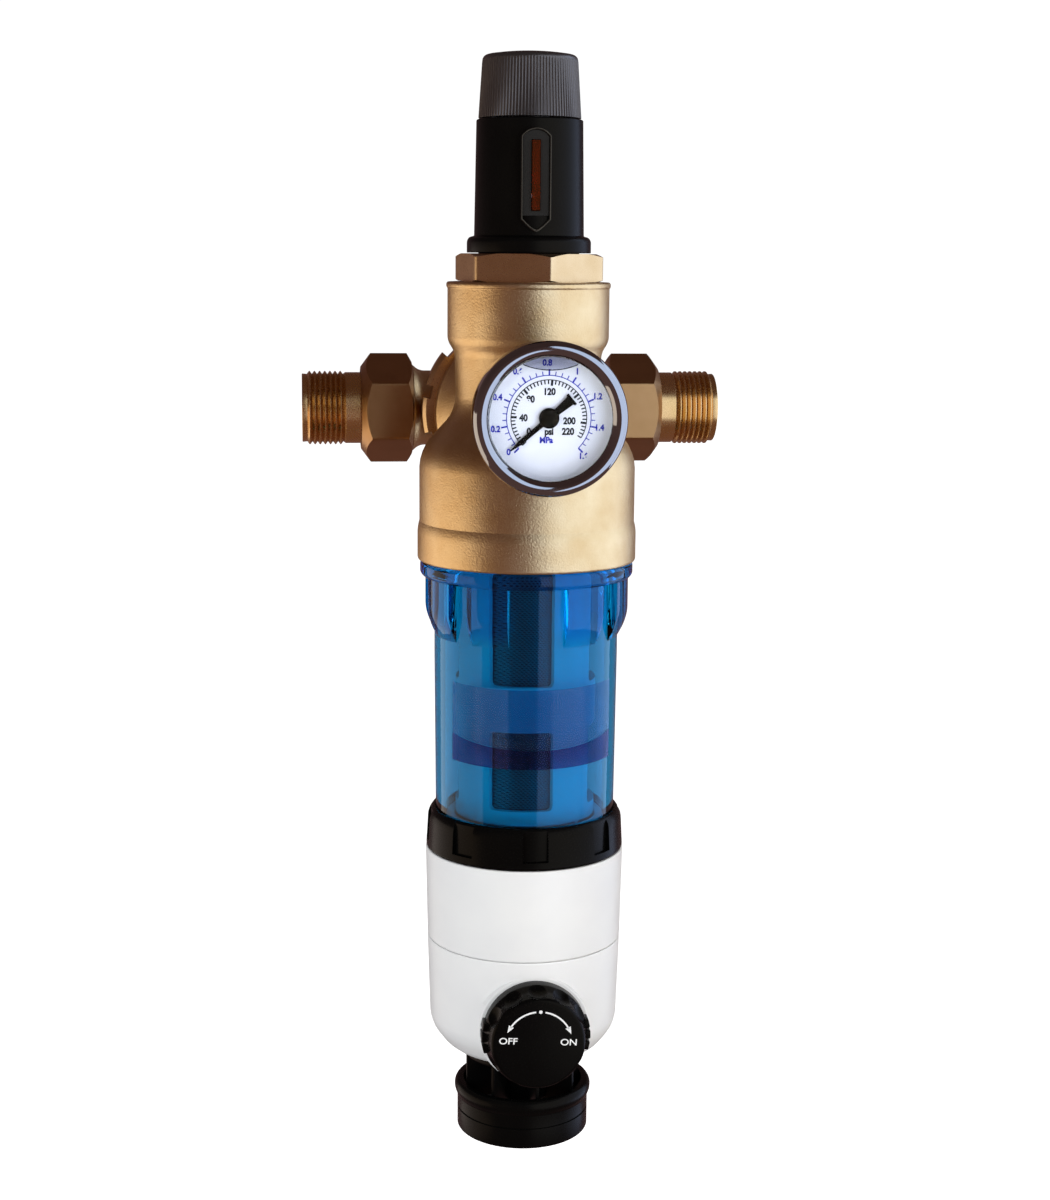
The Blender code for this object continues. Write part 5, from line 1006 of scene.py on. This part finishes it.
for low, high in ((-108.7, -50.0), (-162.0, -128.0)):
    cage = cut(cage, around(lambda: window(low, high), 4))
feet = around(lambda: block((18, 2, 26.5), (19, 0, -179.9), 0.3, 2), 4, 45)
cage = joined(cage, feet)
piece("white_cage", cage, WHITE_ACETAL, ["filter_cage"])

# %% Screens
for name, low, high in (("upper_screen", -112.2, -46.5), ("lower_screen", -165.5, -124.5)):
    tube = turned([(26.6, low), (27.2, low), (27.2, high), (26.6, high)])
    piece(name.replace("screen", "gauze"), tube, GAUZE, [name])

# %% [markdown]
# ## Ring nut
# A black ring nut holds the drain housing to the bowl. It widens downwards and has eight flat
# recesses for fingers that stop short of its lower edge.

# %% Ring nut
nut = turned([
    (38.9, -166.8), (40.0, -166.8, 0.5), (41.3, -168.6, 0.8), (42.0, -170.5, 1.0),
    (42.7, -183.4, 0.3), (42.4, -184.2, 0.2), (36.0, -184.2), (36.0, -181.5), (38.9, -181.5),
])
points = [(40.6, -180.8, 0.6), (44.5, -180.8), (44.5, -165), (40.6, -165)]
nut = cut(nut, around(lambda: sector(points, 14.5, -90, 8), 8))
piece("black_ring_nut", nut, GLOSS_NYLON, ["ring_nut"])

# %% [markdown]
# ## White drain housing
# The housing comes in two pieces with a fine seam between them. The upper one is a funnel with a
# spigot into the bowl. The lower one holds the ball valve, and its round boss carries the knob.

# %% Upper housing
upper = turned([
    (30.5, -169.0), (30.5, -192.0), (8.2, -214.0), (8.2, -231.0), (16, -231.0), (16, -212.4),
    (30.5, -198.1), (38.3, -192.0), (38.3, -224.4), (41.8, -224.4, 0.1), (42.1, -223.9, 0.2),
    (42.9, -185.0, 0.2), (42.5, -184.5), (35.7, -184.5), (35.7, -181.5), (32.8, -181.5),
    (32.8, -179.1), (34.3, -179.1), (34.3, -176.8), (32.5, -176.8), (32.5, -173.8), (34.3, -173.8),
    (34.3, -169.0, 0.4),
])
piece("white_upper_housing", upper, WHITE_ACETAL, ["drain_housing_upper"])

# %% Lower housing
lower = turned([
    (41.8, -224.7), (38.3, -224.7), (37.1, -263.8), (31.6, -268.0), (20.5, -268.0), (20.5, -224.7),
    (16.3, -224.7), (16.3, -231.3), (8.2, -231.3), (8.2, -240.0), (17, -240.0), (17, -274.1),
    (31.6, -274.1, 0.5), (35.0, -271.6, 1.5), (40.9, -263.8, 4.0), (42.1, -225.2, 0.2),
])
to_drain = Matrix.Translation((0, 0, DRAIN_Z)) @ FORWARDS
boss = turned([(0, 19.5), (23.6, 19.5), (23.6, 41.6, 0.8), (0, 41.6)])
boss = cut(boss, block((100, 100, 40), (0, -39.5, 20)))
lower = joined(lower, moved(boss, to_drain))
way = turned([(0, 16), (8.3, 16), (8.3, 23.6), (5.3, 23.6), (5.3, 43), (0, 43)], 48)
lower = cut(lower, moved(way, to_drain))
piece("white_lower_housing", lower, WHITE_ACETAL, ["drain_housing_lower"])

# %% [markdown]
# ## Drain knob
# The knob is glossy black, with three ribs for grip at each side and broad shallow scallops around
# its edge. Two white arrows lead from a dot at the top to OFF and ON. The knob was left turned by
# some three degrees, and its print with it.

# %% Knob body
def drain_knob():
    """The knob as a solid disc, with ribs at its sides and scallops along its edge."""
    shape = turned([
        (0, 42), (8.5, 42), (8.5, 54.5), (17.2, 54.5), (19.4, 42), (22.0, 42, 0.4),
        (22.0, 47.5, 0.5), (20.6, 51.0, 0.8), (19.8, 56.5, 0.5), (18.8, 57.5, 0.5), (0, 57.5),
    ])
    ribs = []
    for side in (0, 180):
        for index in (-1, 0, 1):
            rib = block((2.6, 3.7, 7.4), (21.7, 0, 45.8), 0.5, 2)
            ribs.append(moved(rib, about_z(radians(side + 12.5 * index))))
    shape = joined(shape, together(ribs))
    for angle in (30, 60, 90, 120, 150, 210, 240, 270, 300, 330):
        scallop = bmesh.new()
        bmesh.ops.create_uvsphere(scallop, u_segments=48, v_segments=32, radius=8.5)
        turn = about_z(radians(angle))
        moved(scallop, turn @ Matrix.Translation((27.2, 0, 53.8)))
        shape = cut(shape, scallop)
    return cut(shape, block((7.6, 7.6, 9), (0, 0, 45.4)))


piece(
    "gloss_drain_knob", drain_knob(), GLOSS_NYLON, ["drain_knob"],
    FORWARDS, DRAIN, body="drain_valve",
)

# %% Knob marks
MARK_R, MARK_FOOT, MARK_LEVEL, MARK_TOP = 14.05, 57.45, 57.54, 57.6


def arrow(side):
    """An arc from the top to one side that ends in an arrow head."""
    points = [(13.7, MARK_FOOT), (14.4, MARK_FOOT), (14.4, MARK_TOP), (13.7, MARK_TOP)]
    line = sector(points, 52, 90 + side * 34, 24)
    head = bmesh.new()
    bmesh.ops.create_cone(head, cap_ends=True, segments=3, radius1=1.7, radius2=1.7, depth=0.12)
    bmesh.ops.scale(head, vec=(0.8, 1.25, 1), verts=head.verts)
    end = radians(90 + side * 62)
    turn = about_z(end + (0 if side > 0 else pi))
    moved(head, Matrix.Translation((MARK_R * cos(end), MARK_R * sin(end), MARK_LEVEL)) @ turn)
    return together([line, head])


dot = turned([(0, MARK_FOOT), (0.75, MARK_FOOT), (0.75, MARK_TOP), (0, MARK_TOP)], 24)
marks = [
    arrow(1), arrow(-1), moved(dot, Matrix.Translation((0, MARK_R, 0))),
    lettering("OFF", 3.9, (-12.8, 1.0, MARK_LEVEL), 0.12, 0.04, 1.15),
    lettering("ON", 3.9, (12.6, 1.0, MARK_LEVEL), 0.12, 0.04, 1.15),
]
marks = moved(together(marks), about_z(radians(-3.2)))
piece(
    "knob_marks", marks, WHITE_INK, (), FORWARDS, DRAIN, body="drain_valve"
)

# %% [markdown]
# ## Drain neck and cup
# Below the housing the drain leaves an air gap, so that waste water can never be drawn back. Eight
# thin fins hang from a flange and carry the cup, whose rolled lip and fine groove catch the light.

# %% Neck
neck = turned([
    (8.2, -268.2), (8.2, -299.4), (12.0, -299.4, 0.3), (12.0, -279.4), (25.5, -279.4, 0.3),
    (25.9, -278.6, 0.3), (25.9, -274.4, 0.3), (16.7, -274.4), (16.7, -268.2),
])
fins = around(lambda: block((14.6, 1.6, 20.6), (18.3, 0, -289.0), 0.25, 2), 8, -90 + 8.4)
neck = joined(neck, fins)
piece("finned_neck", neck, BLACK_NYLON, ["drain_neck"])

# %% Cup
cup = turned([
    (26.2, -292.1), (26.2, -299.6), (22.0, -299.6), (22.0, -301.6), (25.3, -301.6), (25.3, -314.1),
    (28.0, -314.1, 0.6), (28.9, -313.2, 0.4), (28.9, -304.9), (28.4, -304.7), (28.4, -304.2),
    (28.9, -304.0), (28.9, -298.6, 0.4), (30.1, -296.6, 1.2), (30.1, -293.6, 1.0),
    (28.8, -292.1, 0.6),
])
piece("rolled_lip_cup", cup, GLOSS_NYLON, ["drain_cup"])

# %% [markdown]
# ## Floor, light and background
# The photograph has a white background and soft light from large boxes: a long one at the left, a
# larger one at the right, and a dim gap between them that gives the brass its brown middle. The
# background is white where the camera sees it and dimmer in reflections. A third box lights the
# right edge from behind, and two fills give soft light without a sheen.

# %% Floor
FLOOR_Z, GLOW = -0.75, 1.05
floor_shape = bmesh.new()
bmesh.ops.create_grid(floor_shape, x_segments=1, y_segments=1, size=12)
bmesh.ops.translate(floor_shape, vec=(0, 0, FLOOR_Z), verts=floor_shape.verts)
floor = in_scene("studio_floor", as_mesh("studio_floor", floor_shape))
paper = surface("studio_paper", {
    "Base Color": colour("#fbfbfb"), "Roughness": 0.9, "Emission Color": (1, 1, 1, 1),
    "Emission Strength": GLOW,
})[0]
floor.data.materials.append(paper)
floor.visible_diffuse = False
floor.visible_glossy = False
print("Floor at", FLOOR_Z, "m")

# %% World
LOW_GLOW, HIGH_GLOW = 0.21, 0.1
world = bpy.data.worlds.new("studio")
bpy.context.scene.world = world
world.use_nodes = True
sky = world.node_tree
sky.nodes.clear()
rays = add(sky, "ShaderNodeLightPath").outputs


def worked(operation, *sockets, **settings):
    """The result of one step of arithmetic. A missing second number is a half."""
    links = dict(enumerate(sockets))
    return add(sky, "ShaderNodeMath", {"operation": operation, **settings}, links).outputs[0]


straight = worked("MAXIMUM", rays["Is Camera Ray"], rays["Is Transmission Ray"])
seen = worked("SUBTRACT", straight, worked("GREATER_THAN", rays["Diffuse Depth"]), use_clamp=True)
aim = add(sky, "ShaderNodeTexCoord").outputs["Generated"]
height = add(sky, "ShaderNodeSeparateXYZ", None, {0: aim}).outputs["Z"]
room = ranged(sky, height, LOW_GLOW, HIGH_GLOW, -0.3, 0.6)
strength = add(sky, "ShaderNodeMix", {"data_type": "FLOAT", 3: GLOW}, {0: seen, 2: room}).outputs[0]
plain = worked("MAXIMUM", seen, rays["Is Diffuse Ray"])
tone = two_tones(sky, plain, "#ffcaca", "#ffffff")
glow = add(sky, "ShaderNodeBackground", None, {"Color": tone, "Strength": strength})
add(sky, "ShaderNodeOutputWorld", None, {"Surface": glow.outputs["Background"]})
bpy.context.scene.view_settings.view_transform = "Standard"
print("World set")

# %% Soft boxes
COLUMN_DEPTH = COLUMN_Y * MM


def soft_box(name, angle, distance, height, width, tall, radiance, tint, sheen=True):
    """A lamp so many degrees right of the front, seen as a sheen or only as soft light."""
    lamp = bpy.data.lights.new(name, "AREA")
    lamp.shape = "RECTANGLE"
    lamp.size = width
    lamp.size_y = tall
    lamp.energy = radiance * pi * width * tall
    lamp.color = colour(tint)[:3]
    obj = in_scene(name, lamp)
    turn = radians(angle)
    obj.location = (distance * sin(turn), COLUMN_DEPTH - distance * cos(turn), height)
    towards = Vector((0, COLUMN_DEPTH, -0.08)) - obj.location
    obj.rotation_euler = towards.to_track_quat("-Z", "Y").to_euler()
    obj.visible_glossy = sheen
    obj.visible_diffuse = not sheen
    return obj


boxes = [
    soft_box("left_box", -101.5, 1.2, -0.45, 2.0, 1.0, 1.42, "#fff4ea"),
    soft_box("right_box", 39.5, 1.2, 0.0, 1.45, 1.9, 2.75, "#bcd4ff"),
    soft_box("right_rear_box", 97, 1.2, 0.0, 1.2, 1.9, 2.6, "#bfd6ff"),
    soft_box("left_fill", -50, 1.6, 0.1, 1.4, 1.6, 3.2, "#fcfeff", False),
    soft_box("right_fill", 50, 1.6, 0.1, 1.4, 1.6, 3.5, "#fffcf6", False),
]
print("Soft boxes:", [box.name for box in boxes])

# %% [markdown]
# ## Camera
# The camera stands 0.85 m in front of the filter, a little to its left, and looks down by about ten
# degrees. A hair of roll matches the photograph, in which the filter leans to the right.

# %% Camera
SENSOR = 36
FOCAL_SHARE = 2012 / 1200
AWAY, EYE_Z = 0.849, 0.0705
SIDE, HEADING, DIP, ROLL = radians(-6.7), radians(-0.03), radians(9.84), radians(0.45)
lens_data = bpy.data.cameras.new("studio_camera")
lens_data.sensor_width = SENSOR
lens_data.sensor_fit = "AUTO"
lens_data.lens = FOCAL_SHARE * SENSOR
lens_data.clip_start = 0.01
camera = in_scene("studio_camera", lens_data)
camera.location = (AWAY * sin(SIDE), COLUMN_DEPTH - AWAY * cos(SIDE), EYE_Z)
heading = about_z(SIDE - HEADING)
pitch = Matrix.Rotation(pi / 2 - DIP, 4, "X")
roll = about_z(ROLL)
camera.matrix_world = Matrix.Translation(camera.location) @ heading @ pitch @ roll
bpy.context.scene.camera = camera
print("Camera at", [round(part, 3) for part in camera.location])
